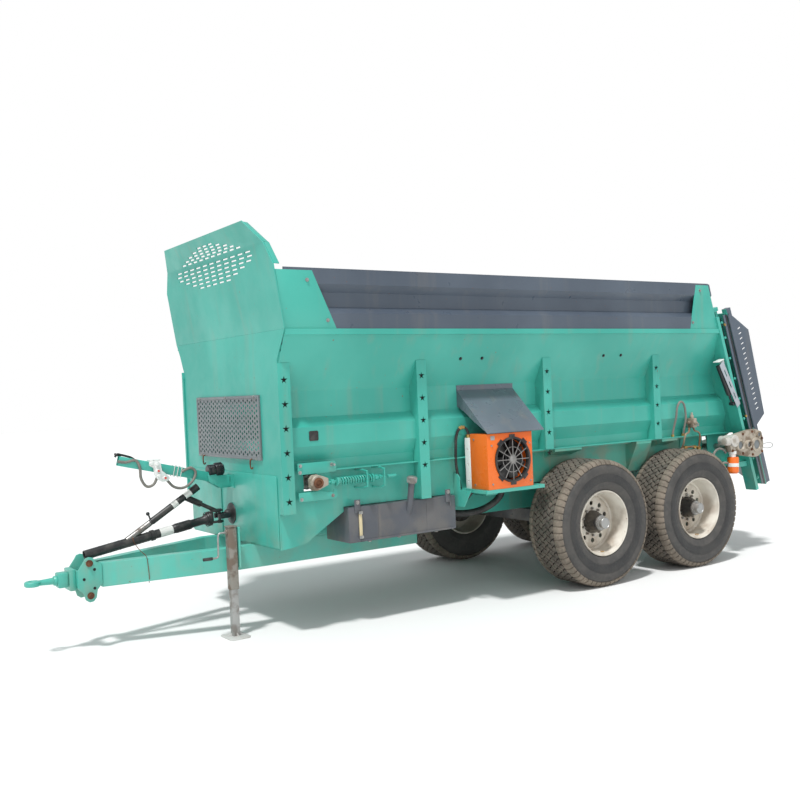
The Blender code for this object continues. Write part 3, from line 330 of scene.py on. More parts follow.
SIDEWALL = Rubber("tyre_side", "tyre_rubber", (0.062, 0.06, 0.058), (0.11, 0.102, 0.094), 0.45, 30.0, 0.72)
BAND = Rubber("tyre_dark_band", "tyre_rubber", (0.034, 0.034, 0.035), (0.08, 0.076, 0.07), 0.3, 50.0, 0.6)
HOSE = Rubber("hose_rubber", "tyre_rubber", (0.014, 0.014, 0.015), (0.12, 0.11, 0.1), 0.35, 90.0, 0.55)
HOSE_GREY = Rubber("hose_grey", "tyre_rubber", (0.17, 0.16, 0.145), (0.3, 0.27, 0.23), 0.45, 90.0, 0.6)
GALVANISED = Metal("galvanised_steel", "bare_steel", (0.4, 0.4, 0.39), (0.15, 0.12, 0.095), 0.55, 0.42, 0.8)
STEEL = Metal("worn_steel", "bare_steel", (0.36, 0.35, 0.335), (0.14, 0.08, 0.048), 0.65, 0.38, 0.9)
RUST = Metal("rusty_steel", "bare_steel", (0.18, 0.075, 0.035), (0.09, 0.035, 0.018), 0.85, 0.7, 0.25)
CAST = Metal("cast_casing", "bare_steel", (0.43, 0.38, 0.31), (0.17, 0.12, 0.08), 0.8, 0.58, 0.25)
BRASS = Metal("brass_fitting", "bare_steel", (0.56, 0.34, 0.1), (0.24, 0.14, 0.06), 0.5, 0.35, 0.9)
CAST_PALE = Metal("cast_motor", "bare_steel", (0.56, 0.54, 0.5), (0.26, 0.2, 0.14), 0.6, 0.5, 0.2)
RUSTY_PIPE = Metal("rusty_pipe", "bare_steel", (0.33, 0.26, 0.18), (0.2, 0.09, 0.04), 0.8, 0.55, 0.5)
GUARD_WIRE = Metal("guard_wire", "bare_steel", (0.33, 0.32, 0.31), (0.12, 0.11, 0.1), 0.4, 0.35, 0.7)
WEATHERED = Metal("weathered_tube", "grey_paint", (0.29, 0.27, 0.24), (0.16, 0.11, 0.08), 0.8, 0.5, 0.6)
PALE_METAL = Metal("pale_foot", "grey_paint", (0.6, 0.6, 0.58), (0.4, 0.38, 0.34), 0.35, 0.5, 0.3)
RED = Paint("red_plug", "orange_paint", (0.6, 0.06, 0.04), (0.65, 0.1, 0.08), dust=0.1, streaks=0.05)
GREY_LIGHT = Paint("light_grey_guard", "grey_paint", (0.33, 0.36, 0.4), (0.4, 0.43, 0.47), dust=0.15,
                   streaks=0.15)
BEATER_PAINT = Paint("beater_paint", "teal_paint", (0.05, 0.38, 0.29), (0.13, 0.38, 0.3), roughness=0.5,
                     dust=0.85, streaks=0.6, dust_top=2.4)
CREAM_PLASTIC = Plastic("cream_plastic", "rim_cream", (0.64, 0.54, 0.33))
BLACK_PLASTIC = Plastic("black_plastic", "black_paint", (0.013, 0.013, 0.014))
WHITE_PLASTIC = Plastic("white_plastic", "grey_paint", (0.76, 0.75, 0.72))
# Near-black painted shade for holes and pockets: the star pockets' bottoms, the hitch cheeks' holes and the
# fan pocket's back.
HOLE_SHADE = Plastic("painted_hole_shade", "black_paint", (0.004, 0.005, 0.005), amount=0.05, roughness=0.8)


# ---------------------------------------------------------------- shapes
def spread(start: Vector, end: Vector) -> Matrix:
    """A matrix at start whose +Z points to end."""
    turn = (end - start).to_track_quat("Z", "Y").to_matrix().to_4x4()
    return Matrix.Translation(start) @ turn


def smooth_route(knots: Sequence[Triple], steps: int = 5) -> list[Vector]:
    """Points of a smooth curve through the knots, as the frame's hoses follow it.

    Args:
        knots: the points it passes.
        steps: points per stretch.

    Returns:
        The route's points, ends included.
    """
    points = [Vector(knot) for knot in knots]
    padded = [2 * points[0] - points[1], *points, 2 * points[-1] - points[-2]]
    route: list[Vector] = []
    for before, start, end, after in zip(padded, padded[1:], padded[2:], padded[3:]):
        for step in range(steps):
            t = step / steps
            curve = 2 * before - 5 * start + 4 * end - after
            twist = 3 * start - before - 3 * end + after
            route.append(0.5 * (2 * start + (end - before) * t + curve * t * t + twist * t ** 3))
    return [*route, points[-1]]


def star(radius: float, centre: Pair) -> list[Pair]:
    """Outline of a five-pointed star."""
    outline = []
    for corner in range(10):
        reach = radius if corner % 2 == 0 else radius * 0.4
        angle = TURN * corner / 10 + math.pi / 2
        outline.append((centre[0] + reach * math.cos(angle), centre[1] + reach * math.sin(angle)))
    return outline


def disc(radius: float, centre: Pair, sides: int = 16) -> list[Pair]:
    """Outline of a round hole or plate."""
    return [(centre[0] + radius * math.cos(TURN * step / sides),
             centre[1] + radius * math.sin(TURN * step / sides))
            for step in range(sides)]


class Shape:
    """A piece's mesh while it is being made."""

    def __init__(self) -> None:
        """Starts with an empty mesh."""
        self.bm = bmesh.new()

    def _round(self, verts: Iterable[bmesh.types.BMVert], width: float, segments: int = 2) -> None:
        """Bevels every sharp edge between the given vertices."""
        chosen = set(verts)
        edges = [edge for edge in self.bm.edges if edge.verts[0] in chosen and edge.verts[1] in chosen]
        sharp = [edge for edge in edges if len(edge.link_faces) == 2 and edge.calc_face_angle() > 0.45]
        bmesh.ops.bevel(self.bm, geom=sharp, offset=width, segments=segments, profile=0.5, affect="EDGES",
                        clamp_overlap=True, material=-1)

    def bar(self, low: Triple, high: Triple, bevel: float = 0.0) -> "Shape":
        """Adds a box between two corners, its edges rounded by bevel."""
        low_corner, high_corner = Vector(low), Vector(high)
        size = high_corner - low_corner
        matrix = Matrix.Translation((low_corner + high_corner) / 2) @ Matrix.Diagonal((*map(abs, size), 1.0))
        made = bmesh.ops.create_cube(self.bm, size=1.0, matrix=matrix)
        if bevel:
            self._round(made["verts"], bevel)
        return self

    def beam(self, start: Triple, end: Triple, width: float, height: float, bevel: float = 0.0) -> "Shape":
        """Adds a rectangular bar between two points; its width stays level."""
        first, last = Vector(start), Vector(end)
        along = (last - first).normalized()
        level = Vector((0.0, 0.0, 1.0)).cross(along)
        level = Vector((0.0, 1.0, 0.0)) if level.length < 1e-6 else level.normalized()
        upright = along.cross(level)
        turn = Matrix((along, level, upright)).transposed().to_4x4()
        size = Matrix.Diagonal(((last - first).length, width, height, 1.0))
        made = bmesh.ops.create_cube(self.bm, size=1.0,
                                     matrix=Matrix.Translation((first + last) / 2) @ turn @ size)
        if bevel:
            self._round(made["verts"], bevel)
        return self

    def rod(self, start: Triple, end: Triple, radius: float, end_radius: float | None = None, sides: int = 24,
            bevel: float = 0.0) -> "Shape":
        """Adds a round bar or cone between two points."""
        first, last = Vector(start), Vector(end)
        length = (last - first).length
        made = bmesh.ops.create_cone(self.bm, cap_ends=True, segments=sides, radius1=radius,
                                     radius2=radius if end_radius is None else end_radius, depth=length,
                                     matrix=spread(first, last) @ Matrix.Translation((0.0, 0.0, length / 2)))
        if bevel:
            self._round(made["verts"], bevel)
        return self

    def ball(self, centre: Triple, radius: float, squash: Triple = (1.0, 1.0, 1.0)) -> "Shape":
        """Adds a ball, squashed along the axes."""
        matrix = Matrix.Translation(centre) @ Matrix.Diagonal((*squash, 1.0))
        bmesh.ops.create_uvsphere(self.bm, u_segments=20, v_segments=12, radius=radius, matrix=matrix)
        return self

    def plate(self, outline: Sequence[Pair], plane: Plane, low: float, high: float,
              bevel: float = 0.0) -> "Shape":
        """Adds a flat plate with the given outline, from low to high off its plane."""
        verts = [self.bm.verts.new(plane.lift(across, up, low)) for across, up in outline]
        face = self.bm.faces.new(verts)
        grown = bmesh.ops.extrude_face_region(self.bm, geom=[face])
        moved = [item for item in grown["geom"] if isinstance(item, bmesh.types.BMVert)]
        bmesh.ops.translate(self.bm, vec=plane.lift(0.0, 0.0, high - low), verts=moved)
        if bevel:
            self._round([*verts, *moved], bevel)
        return self

    def lathe(self, profile: Sequence[Pair], centre: Triple, axis: Triple, steps: int = 48,
              closed: bool = True) -> "Shape":
        """Adds a profile of (radius, height) points turned round an axis.

        Args:
            profile: the points, in order.
            centre: where the axis starts.
            axis: its direction.
            steps: steps of a full turn.
            closed: whether the last point joins the first.

        Returns:
            The shape itself.
        """
        start = Vector(centre)
        place = spread(start, start + Vector(axis))
        verts = [self.bm.verts.new(place @ Vector((radius, 0.0, height))) for radius, height in profile]
        pairs = list(zip(verts, verts[1:])) + ([(verts[-1], verts[0])] if closed else [])
        edges = [self.bm.edges.new(pair) for pair in pairs if (pair[0].co - pair[1].co).length > 1e-7]
        bmesh.ops.spin(self.bm, geom=[*verts, *edges], cent=start, axis=Vector(axis), angle=TURN, steps=steps,
                       use_merge=True)
        bmesh.ops.remove_doubles(self.bm, verts=self.bm.verts[:], dist=1e-6)
        return self

    def sweep(self, route: Sequence[Vector], radius: float, sides: int = 12) -> "Shape":
        """Adds a round tube with closed ends along a route."""
        points = [Vector(point) for point in route]
        ways = [(after - before).normalized() for before, after in zip(points, points[1:])]
        bends = [ways[0], *[(a + b).normalized() for a, b in zip(ways, ways[1:])], ways[-1]]
        made = bmesh.ops.create_circle(self.bm, cap_ends=True, segments=sides, radius=radius,
                                       matrix=spread(points[0], points[0] + bends[0]))
        ring = list({edge for vert in made["verts"] for edge in vert.link_edges})
        for place, following, bend, turned in zip(points, points[1:], bends, bends[1:]):
            grown = bmesh.ops.extrude_edge_only(self.bm, edges=ring)["geom"]
            verts = [item for item in grown if isinstance(item, bmesh.types.BMVert)]
            chosen = set(verts)
            ring = [item for item in grown if isinstance(item, bmesh.types.BMEdge)
                    and item.verts[0] in chosen and item.verts[1] in chosen]
            bmesh.ops.translate(self.bm, vec=following - place, verts=verts)
            bmesh.ops.rotate(self.bm, cent=following, matrix=bend.rotation_difference(turned).to_matrix(),
                             verts=verts)
        bmesh.ops.edgeloop_fill(self.bm, edges=ring)
        return self

    def coil(self, start: Triple, end: Triple, radius: float, wire: float, turns: float) -> "Shape":
        """Adds a coil spring between two points."""
        place = spread(Vector(start), Vector(end))
        length = (Vector(end) - Vector(start)).length
        steps = int(turns * 18)
        route = [place @ Vector((radius * math.cos(TURN * turns * step / steps),
                                 radius * math.sin(TURN * turns * step / steps), length * step / steps))
                 for step in range(steps + 1)]
        return self.sweep(route, wire, 8)

    def bolt(self, place: Triple, out: Triple, radius: float = 0.011) -> "Shape":
        """Adds a hexagon bolt head on a washer."""
        seat, way = Vector(place), Vector(out).normalized()
        self.rod(seat - way * 0.002, seat + way * 0.003, radius * 1.5, sides=18)
        return self.rod(seat + way * 0.003, seat + way * (0.003 + radius * 0.75), radius, radius * 0.93,
                        sides=6)

    def sprockets(self, station: float, height: float) -> "Shape":
        """Adds a chain wheel under each of the floor conveyor's chains."""
        profile = [(0.0325, -0.02), (0.056, -0.02), (0.062, -0.008), (0.062, 0.008), (0.056, 0.02),
                   (0.0325, 0.02)]
        for offset in CHAIN_OFFSETS:
            self.lathe(profile, (station, offset, height), (0, 1, 0), 12)
        return self

    def copies(self, count: int, centre: Triple, axis: Triple, turn: float = TURN) -> "Shape":
        """Repeats everything so far round an axis, count in all."""
        bmesh.ops.spin(self.bm, geom=self.bm.verts[:] + self.bm.edges[:] + self.bm.faces[:], cent=centre,
                       axis=axis, angle=turn * (count - 1) / count, steps=count - 1, use_duplicate=True)
        return self

    def row(self, count: int, step: Triple) -> "Shape":
        """Repeats everything so far along a line, count in all."""
        geom = self.bm.verts[:] + self.bm.edges[:] + self.bm.faces[:]
        for number in range(1, count):
            made = bmesh.ops.duplicate(self.bm, geom=geom)
            moved = [item for item in made["geom"] if isinstance(item, bmesh.types.BMVert)]
            bmesh.ops.translate(self.bm, vec=Vector(step) * number, verts=moved)
        return self

    def moved(self, matrix: Matrix) -> "Shape":
        """Moves everything so far."""
        bmesh.ops.transform(self.bm, matrix=matrix, verts=self.bm.verts[:])
        return self

    def both_sides(self) -> "Shape":
        """Adds the mirror image across the machine's middle plane."""
        made = bmesh.ops.duplicate(self.bm, geom=self.bm.verts[:] + self.bm.edges[:] + self.bm.faces[:])
        copied = [item for item in made["geom"] if isinstance(item, bmesh.types.BMVert)]
        bmesh.ops.scale(self.bm, vec=(1.0, -1.0, 1.0), verts=copied)
        return self

    def tidied(self) -> "Shape":
        """Merges doubles and turns every face outwards."""
        bmesh.ops.remove_doubles(self.bm, verts=self.bm.verts[:], dist=2e-6)
        bmesh.ops.recalc_face_normals(self.bm, faces=self.bm.faces[:])
        return self

    def added(self, other: "Shape") -> "Shape":
        """Takes in another shape's mesh."""
        mesh = other.mesh("added")
        self.bm.from_mesh(mesh)
        bpy.data.meshes.remove(mesh)
        return self

    def added_copy(self, other: "Shape", matrix: Matrix) -> "Shape":
        """Takes in a moved copy of another shape's mesh."""
        mesh = bpy.data.meshes.new("copied")
        other.bm.to_mesh(mesh)
        mesh.transform(matrix)
        self.bm.from_mesh(mesh)
        bpy.data.meshes.remove(mesh)
        return self

    def mesh(self, name: str) -> bpy.types.Mesh:
        """Writes the shape to a new mesh and frees it."""
        made = bpy.data.meshes.new(name)
        self.tidied().bm.to_mesh(made)
        self.bm.free()
        return made

    def carved(self, cutter: "Shape") -> "Shape":
        """Returns a new shape with the cutter's solids taken out of this one."""
        body = bpy.data.objects.new("carve_body", self.mesh("carve_body"))
        tool = bpy.data.objects.new("carve_tool", cutter.mesh("carve_tool"))
        for item in (body, tool):
            bpy.context.scene.collection.objects.link(item)
        step = body.modifiers.new("carve", "BOOLEAN")
        step.operation, step.object, step.solver = "DIFFERENCE", tool, "EXACT"
        bpy.context.view_layer.update()
        graph = bpy.context.evaluated_depsgraph_get()
        cut = bpy.data.meshes.new_from_object(body.evaluated_get(graph))
        for item in (body, tool):
            bpy.data.objects.remove(item)
        result = Shape()
        result.bm.from_mesh(cut)
        bpy.data.meshes.remove(cut)
        return result


@dataclass
class Workshop:
    """Makes pieces and finishes, and fastens each piece to its body."""

    shift: float
    made: dict[str, bpy.types.Material] = field(default_factory=dict)

    def matrix(self, spot: Spot) -> Matrix:
        """The matrix from a drawing's coordinates to the frame's."""
        if spot is Spot.MACHINE:
            return Matrix.Translation((self.shift, 0.0, 0.0))
        base = Vector(REAR_BASE) + Vector((self.shift, 0.0, 0.0))
        return Matrix.Translation(base) @ Matrix.Rotation(LEAN, 4, "Y")

    def finish(self, finish: Finish) -> bpy.types.Material:
        """The material of a finish, made once."""
        if finish.name not in self.made:
            self.made[finish.name] = finish.material()
        return self.made[finish.name]

    def settle(self, name: str, shape: Shape, finish: Finish, body: str = MACHINE_BODY,
               replaces: Sequence[str] = (), spot: Spot = Spot.MACHINE, angle: float = 35.0,
               slot: str = "") -> bpy.types.Object:
        """Turns a shape into a finished piece.

        Args:
            name: the piece's name.
            shape: its mesh, which is used up.
            finish: its finish.
            body: the frame's body it rides on.
            replaces: the frame's nodes it stands for.
            spot: the coordinates it was drawn in.
            angle: edges sharper than this, in degrees, stay sharp.
            slot: not used; it names the record's material slot, where it isn't the finish's own.

        Returns:
            The new object.
        """
        mesh = shape.mesh(name)
        mesh.transform(self.matrix(spot))
        mesh.shade_smooth()
        mesh.set_sharp_from_angle(angle=math.radians(angle))
        mesh.materials.append(self.finish(finish))
        piece = bpy.data.objects.new(name, mesh)
        bpy.context.scene.collection.objects.link(piece)
        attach(piece, body)
        if replaces:
            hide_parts(*replaces)
        LOG.info("piece %s on %s: %d faces", name, body, len(mesh.polygons))
        return piece

    def dress(self, node: str, finish: Finish, bevel: float = 0.003) -> None:
        """Gives a frame node its finish and rounds its edges."""
        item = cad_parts[node]
        item.data.materials.clear()
        item.data.materials.append(self.finish(finish))
        item.data.polygons.foreach_set("material_index", [0] * len(item.data.polygons))
        weld = item.modifiers.new("weld", "WELD")
        weld.merge_threshold = 0.00002
        if bevel:
            edge = item.modifiers.new("edge", "BEVEL")
            edge.width, edge.segments, edge.limit_method = bevel, 2, "ANGLE"
            edge.angle_limit = math.radians(38)
            edge.harden_normals = False
        LOG.info("dressed %s", node)

    def copy_of(self, node: str, spot: Spot = Spot.MACHINE) -> Shape:
        """A shape with a frame node's mesh, back in a drawing's coordinates."""
        shape = Shape()
        shape.bm.from_mesh(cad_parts[node].data)
        shape.moved(self.matrix(spot).inverted())
        bmesh.ops.remove_doubles(shape.bm, verts=shape.bm.verts[:], dist=2e-5)
        bmesh.ops.dissolve_limit(shape.bm, angle_limit=math.radians(0.5), verts=shape.bm.verts[:],
                                 edges=shape.bm.edges[:])
        return shape


# ---------------------------------------------------------------- wheels
@dataclass
class Wheel:
    """One wheel: a wide tyre with a woven block tread on a deep cream rim."""

    shop: Workshop
    axle: str
    side: Side
    station: float
    height: float = 0.575
    track_half: float = 1.035
    tread_radius: float = 0.5745
    block_count: int = 58
    row_count: int = 6
    row_width: float = 0.043
    notch_count: int = 60
    hole_count: int = 10

    @property
    def centre(self) -> Triple:
        """The wheel's centre."""
        return (self.station, self.side.value * self.track_half, self.height)

    @property
    def out(self) -> Triple:
        """The axle's outward direction."""
        return (0.0, self.side.value, 0.0)

    def at(self, radius: float, along: float) -> Triple:
        """A point straight above the hub, along being outward from the wheel's middle."""
        x, y, z = self.centre
        return (x, y + self.side.value * along, z + radius)

    def carcass(self) -> Shape:
        """The tyre's body, with ribs on its side walls."""
        half = [(0.556, 0.0), (0.556, 0.128), (0.548, 0.178), (0.53, 0.206), (0.518, 0.2135),
                (0.513, 0.2185), (0.503, 0.2205), (0.495, 0.2235), (0.462, 0.2262), (0.456, 0.2242),
                (0.41, 0.2245), (0.37, 0.2185), (0.364, 0.2205), (0.356, 0.218), (0.33, 0.207),
                (0.312, 0.1985), (0.304, 0.193), (0.301, 0.17)]
        profile = [*half, *((radius, -along) for radius, along in reversed(half[1:]))]
        return Shape().lathe(profile, self.centre, self.out, steps=96)

    def band(self) -> Shape:
        """The darker ring on the outer side wall."""
        profile = [(0.448, 0.2255), (0.444, 0.2277), (0.4, 0.2262), (0.378, 0.222), (0.374, 0.2195),
                   (0.41, 0.2225)]
        return Shape().lathe(profile, self.centre, self.out, steps=96)

    def tread(self) -> Shape:
        """Rows of slanted blocks between the shoulder ribs."""
        shape = Shape()
        pitch = TURN * self.tread_radius / self.block_count
        for row in range(self.row_count):
            along = (row - (self.row_count - 1) / 2) * self.row_width
            lean = math.radians(34 if row % 2 else -34)
            block = Shape()
            block.bar((-pitch * 0.34, -0.0235, -0.022), (pitch * 0.34, 0.0235, 0.0), 0.0025)
            block.moved(Matrix.Rotation(lean, 4, "Z"))
            phase = Matrix.Rotation(TURN / self.block_count * (0.5 if row % 2 else 0.0), 4, "Y")
            block.moved(Matrix.Translation(self.centre) @ phase
                        @ Matrix.Translation((0.0, along, self.tread_radius)))
            block.copies(self.block_count, self.centre, (0.0, 1.0, 0.0))
            shape.added(block)
        return shape

    def shoulders(self) -> Shape:
        """The two notched shoulder ribs."""
        shape = Shape()
        pitch = TURN * self.tread_radius / self.notch_count
        for way in (1.0, -1.0):
            rib = Shape().lathe([(0.569, 0.132), (0.567, 0.17), (0.556, 0.188), (0.544, 0.198),
                                 (0.52, 0.2), (0.52, 0.132)], self.centre, (0.0, way, 0.0), steps=96)
            shape.added(rib)
            lug = Shape()
            lug.plate([(0.136, 0.574), (0.136, 0.55), (0.204, 0.525), (0.214, 0.532), (0.206, 0.548),
                       (0.192, 0.562), (0.172, 0.572)], Plane.YZ, -pitch * 0.39, pitch * 0.39, 0.003)
            place = Matrix.Scale(way, 4, (0.0, 1.0, 0.0))
            lug.moved(Matrix.Translation(self.centre) @ place)
            lug.copies(self.notch_count, self.centre, (0.0, 1.0, 0.0))
            shape.added(lug)
        return shape

    def barrel(self) -> Shape:
        """The rim's barrel with its two flanges and the ring the disc is welded to."""
        profile = [(0.2985, 0.1935), (0.296, 0.1985), (0.29, 0.2), (0.284, 0.195), (0.2805, 0.178),
                   (0.2745, 0.17), (0.266, 0.1), (0.256, 0.03), (0.24, 0.016), (0.24, 0.006), (0.256, -0.004),
                   (0.261, -0.06), (0.277, -0.169), (0.284, -0.195), (0.2985, -0.1935), (0.296, -0.176),
                   (0.286, -0.168), (0.271, -0.056), (0.268, -0.01), (0.286, 0.168), (0.296, 0.176)]
        return Shape().lathe(profile, self.centre, self.out, steps=96)

    def disc(self) -> Shape:
        """The dished disc with its ring of round holes."""
        profile = [(0.241, 0.014), (0.23, 0.026), (0.212, 0.033), (0.13, 0.033), (0.1, 0.03),
                   (0.1, 0.02), (0.208, 0.02), (0.224, 0.014), (0.241, 0.004)]
        plate = Shape().lathe(profile, self.centre, self.out, steps=80)
        holes = Shape().rod(self.at(0.17, -0.02), self.at(0.17, 0.07), 0.0215, sides=20)
        holes.copies(self.hole_count, self.centre, (0.0, 1.0, 0.0))
        return plate.carved(holes)

    def hub(self) -> Shape:
        """The black hub and brake drum behind the disc, bored for the axle's spindle."""
        profile = [(0.05, -0.115), (0.162, -0.115), (0.17, -0.108), (0.17, -0.015), (0.14, 0.01),
                   (0.104, 0.018), (0.104, 0.052), (0.092, 0.09), (0.078, 0.118), (0.074, 0.142),
                   (0.05, 0.142)]
        return Shape().lathe(profile, self.centre, self.out, steps=64)

    def studs(self) -> Shape:
        """The wheel nuts inside the ring of holes."""
        nut = Shape().rod(self.at(0.124, 0.031), self.at(0.124, 0.052), 0.0125, 0.0115, sides=6)
        nut.rod(self.at(0.124, 0.052), self.at(0.124, 0.06), 0.0075, sides=12)
        return nut.copies(self.hole_count, self.centre, (0.0, 1.0, 0.0))

    def cap(self) -> Shape:
        """The bright stepped hub cap with a blank face."""
        profile = [(0.0, 0.135), (0.064, 0.135), (0.0655, 0.14), (0.0655, 0.156), (0.062, 0.16),
                   (0.059, 0.16), (0.059, 0.17), (0.056, 0.172), (0.053, 0.172), (0.053, 0.202),
                   (0.05, 0.207), (0.044, 0.208), (0.042, 0.205), (0.0, 0.205)]
        cap = Shape().lathe(profile, self.centre, self.out, steps=48)
        grips = Shape().rod(self.at(0.0655, 0.137), self.at(0.0655, 0.158), 0.0035, sides=8)
        return cap.added(grips.copies(28, self.centre, (0.0, 1.0, 0.0)))

    def valve(self) -> Shape:
        """The tyre's valve stem."""
        return Shape().rod(self.at(-0.262, 0.13), self.at(-0.258, 0.172), 0.0045, sides=10)

    def build(self) -> None:
        """Makes the wheel's pieces on its own body."""
        key = f"{self.axle}_{self.side.word}"
        body = f"wheel_{key}"
        settle = self.shop.settle
        settle(f"tyre_body_{key}", self.carcass(), SIDEWALL, body, (f"tyre_{key}",))
        settle(f"tyre_tread_{key}", self.tread(), TREAD, body)
        settle(f"tyre_shoulders_{key}", self.shoulders(), SHOULDER, body)
        settle(f"tyre_band_{key}", self.band(), BAND, body)
        settle(f"rim_barrel_{key}", self.barrel(), CREAM, body, (f"rim_{key}",))
        settle(f"rim_disc_{key}", self.disc(), CREAM, body)
        settle(f"hub_{key}", self.hub(), BLACK_PAINT, body)
        settle(f"wheel_nuts_{key}", self.studs(), STEEL, body)
        settle(f"hub_cap_{key}", self.cap(), GALVANISED, body)
        settle(f"tyre_valve_{key}", self.valve(), BRASS, body)


# ---------------------------------------------------------------- hopper
@dataclass
class Hopper:
    """The load box: walls, posts with their star cut-outs, extensions, front shield and screen."""

    shop: Workshop
    post_face: float = 0.964
    star_radius: float = 0.032
    star_pitch: float = 0.183
    star_top: float = 1.963
    pocket: float = 0.012

    def stars(self, station: float, side: Side, count: int, grow: float, low: float, high: float) -> Shape:
        """A column of star-shaped solids on a post.

        Args:
            station: the post's middle.
            side: the machine's side.
            count: number of stars.
            grow: added to each star's radius.
            low: inner face, measured from the post's face.
            high: outer face, measured from the post's face.

        Returns:
            The stars.
        """
        shape = Shape()
        for number in range(count):
            outline = star(self.star_radius + grow, (station, self.star_top - self.star_pitch * number))
            faces = sorted((side.value * (self.post_face + low), side.value * (self.post_face + high)))
            shape.plate(outline, Plane.XZ, *faces)
        return shape

    def post(self, node: str, station: float, side: Side, count: int) -> None:
        """Replaces a post by one with star pockets, with painted shade at their bottoms."""
        body = self.shop.copy_of(node)
        cut = body.carved(self.stars(station, side, count, 0.0, -self.pocket, 0.01))
        self.shop.settle(f"{node}_panel", cut, TURQUOISE, replaces=(node,), angle=25)
        # Near-black plates at the pockets' bottoms are painted shade.
        star_shade_backs = self.stars(station, side, count, -0.0006, -self.pocket + 0.0002, -self.pocket + 0.0012)
        self.shop.settle(f"{node}_stars", star_shade_backs, HOLE_SHADE)

    def posts(self) -> None:
        """Makes all the posts."""
        for side in Side:
            for number, (station, count) in enumerate(((-1.284, 5), (-2.654, 5), (-4.085, 4)), start=1):
                self.post(f"post_{side.word}_{number}", station, side, count)
            self.post(f"corner_post_{side.word}", -0.039, side, 6)

    def extensions(self) -> None:
        """Makes the raised side panels with their end plates and bolts."""
        section = [(1.068, 2.785), (1.068, 2.677), (1.01, 2.617), (1.01, 2.503), (1.068, 2.45),
                   (1.068, 2.3373)]
        for side in Side:
            panel = Shape()
            verts = [panel.bm.verts.new((-0.015, side.value * across, up)) for across, up in section]
            edges = [panel.bm.edges.new(pair) for pair in zip(verts, verts[1:])]
            grown = bmesh.ops.extrude_edge_only(panel.bm, edges=edges)["geom"]
            moved = [item for item in grown if isinstance(item, bmesh.types.BMVert)]
            bmesh.ops.translate(panel.bm, vec=(-4.955, 0.0, 0.0), verts=moved)
            bmesh.ops.recalc_face_normals(panel.bm, faces=panel.bm.faces[:])
            bmesh.ops.solidify(panel.bm, geom=panel.bm.faces[:], thickness=0.006 * -side.value)
            cutter = Shape().plate([(-4.92, 2.3), (-4.785, 2.8), (-5.2, 2.8), (-5.2, 2.3)], Plane.XZ,
                                   side.value - 0.2, side.value + 0.2)
            panel = panel.tidied().carved(cutter)
            self.shop.settle(f"extension_panel_{side.word}", panel, SLATE,
                             replaces=(f"extension_{side.word}",))
            rail = Shape().rod((-0.02, side.value * 1.064, 2.787), (-4.775, side.value * 1.064, 2.787), 0.006,
                               sides=12)
            self.shop.settle(f"extension_edge_{side.word}", rail, SLATE)
            plates = Shape()
            near, far = sorted((side.value * 1.0685, side.value * 1.0745))
            plates.plate([(-0.011, 2.3375), (0.048, 2.772), (-0.255, 2.772), (-0.446, 2.3375)], Plane.XZ,
                         near, far, 0.0015)
            plates.plate([(-4.48, 2.3375), (-4.58, 2.775), (-4.77, 2.775), (-4.903, 2.3375)], Plane.XZ, near,
                         far, 0.0015)
            self.shop.settle(f"extension_plates_{side.word}", plates, TURQUOISE)
            bolts = Shape()
            for station, height in ((-0.21, 2.7), (-0.372, 2.4), (-4.64, 2.72), (-4.52, 2.4)):
                bolts.bolt((station, side.value * 1.0745, height), (0, side.value, 0), 0.01)
            self.shop.settle(f"extension_bolts_{side.word}", bolts, GALVANISED)

    def walls(self) -> None:
        """Finishes the walls, floor and front wall and adds the front's lower panel, bolts and a blank plate.
        """
        for side in Side:
            self.shop.dress(f"hopper_wall_{side.word}", TURQUOISE, 0.004)
        self.shop.dress("hopper_floor", TURQUOISE_INSIDE, 0.003)
        self.shop.dress("hopper_front_wall", TURQUOISE, 0.003)
        lower = Shape().plate([(-0.855, 0.69), (-0.205, 0.69), (-0.205, 1.172), (0.03, 1.172), (0.03, 0.69),
                               (0.855, 0.69), (0.855, 1.228), (0.84, 1.243), (-0.84, 1.243), (-0.855, 1.228)],
                              Plane.YZ, 0.0004, 0.009, 0.003)
        self.shop.settle("front_lower_panel", lower, TURQUOISE)
        bolts = Shape()
        for side in Side:
            for station in (-1.69, -1.92, -3.37, -3.6):
                bolts.bolt((station, side.value * 0.962, 2.094), (0.0, side.value, -0.47), 0.01)
        self.shop.settle("wall_bolts", bolts, BLACK_PAINT)
        label = Shape().plate([(-0.33, 1.5), (-0.322, 1.492), (-0.258, 1.492), (-0.25, 1.5), (-0.25, 1.56),
                               (-0.258, 1.568),
                               (-0.322, 1.568), (-0.33, 1.56)], Plane.XZ, 0.9205, 0.9235, 0.001)
        self.shop.settle("blank_plate", label, BLACK_PLASTIC)

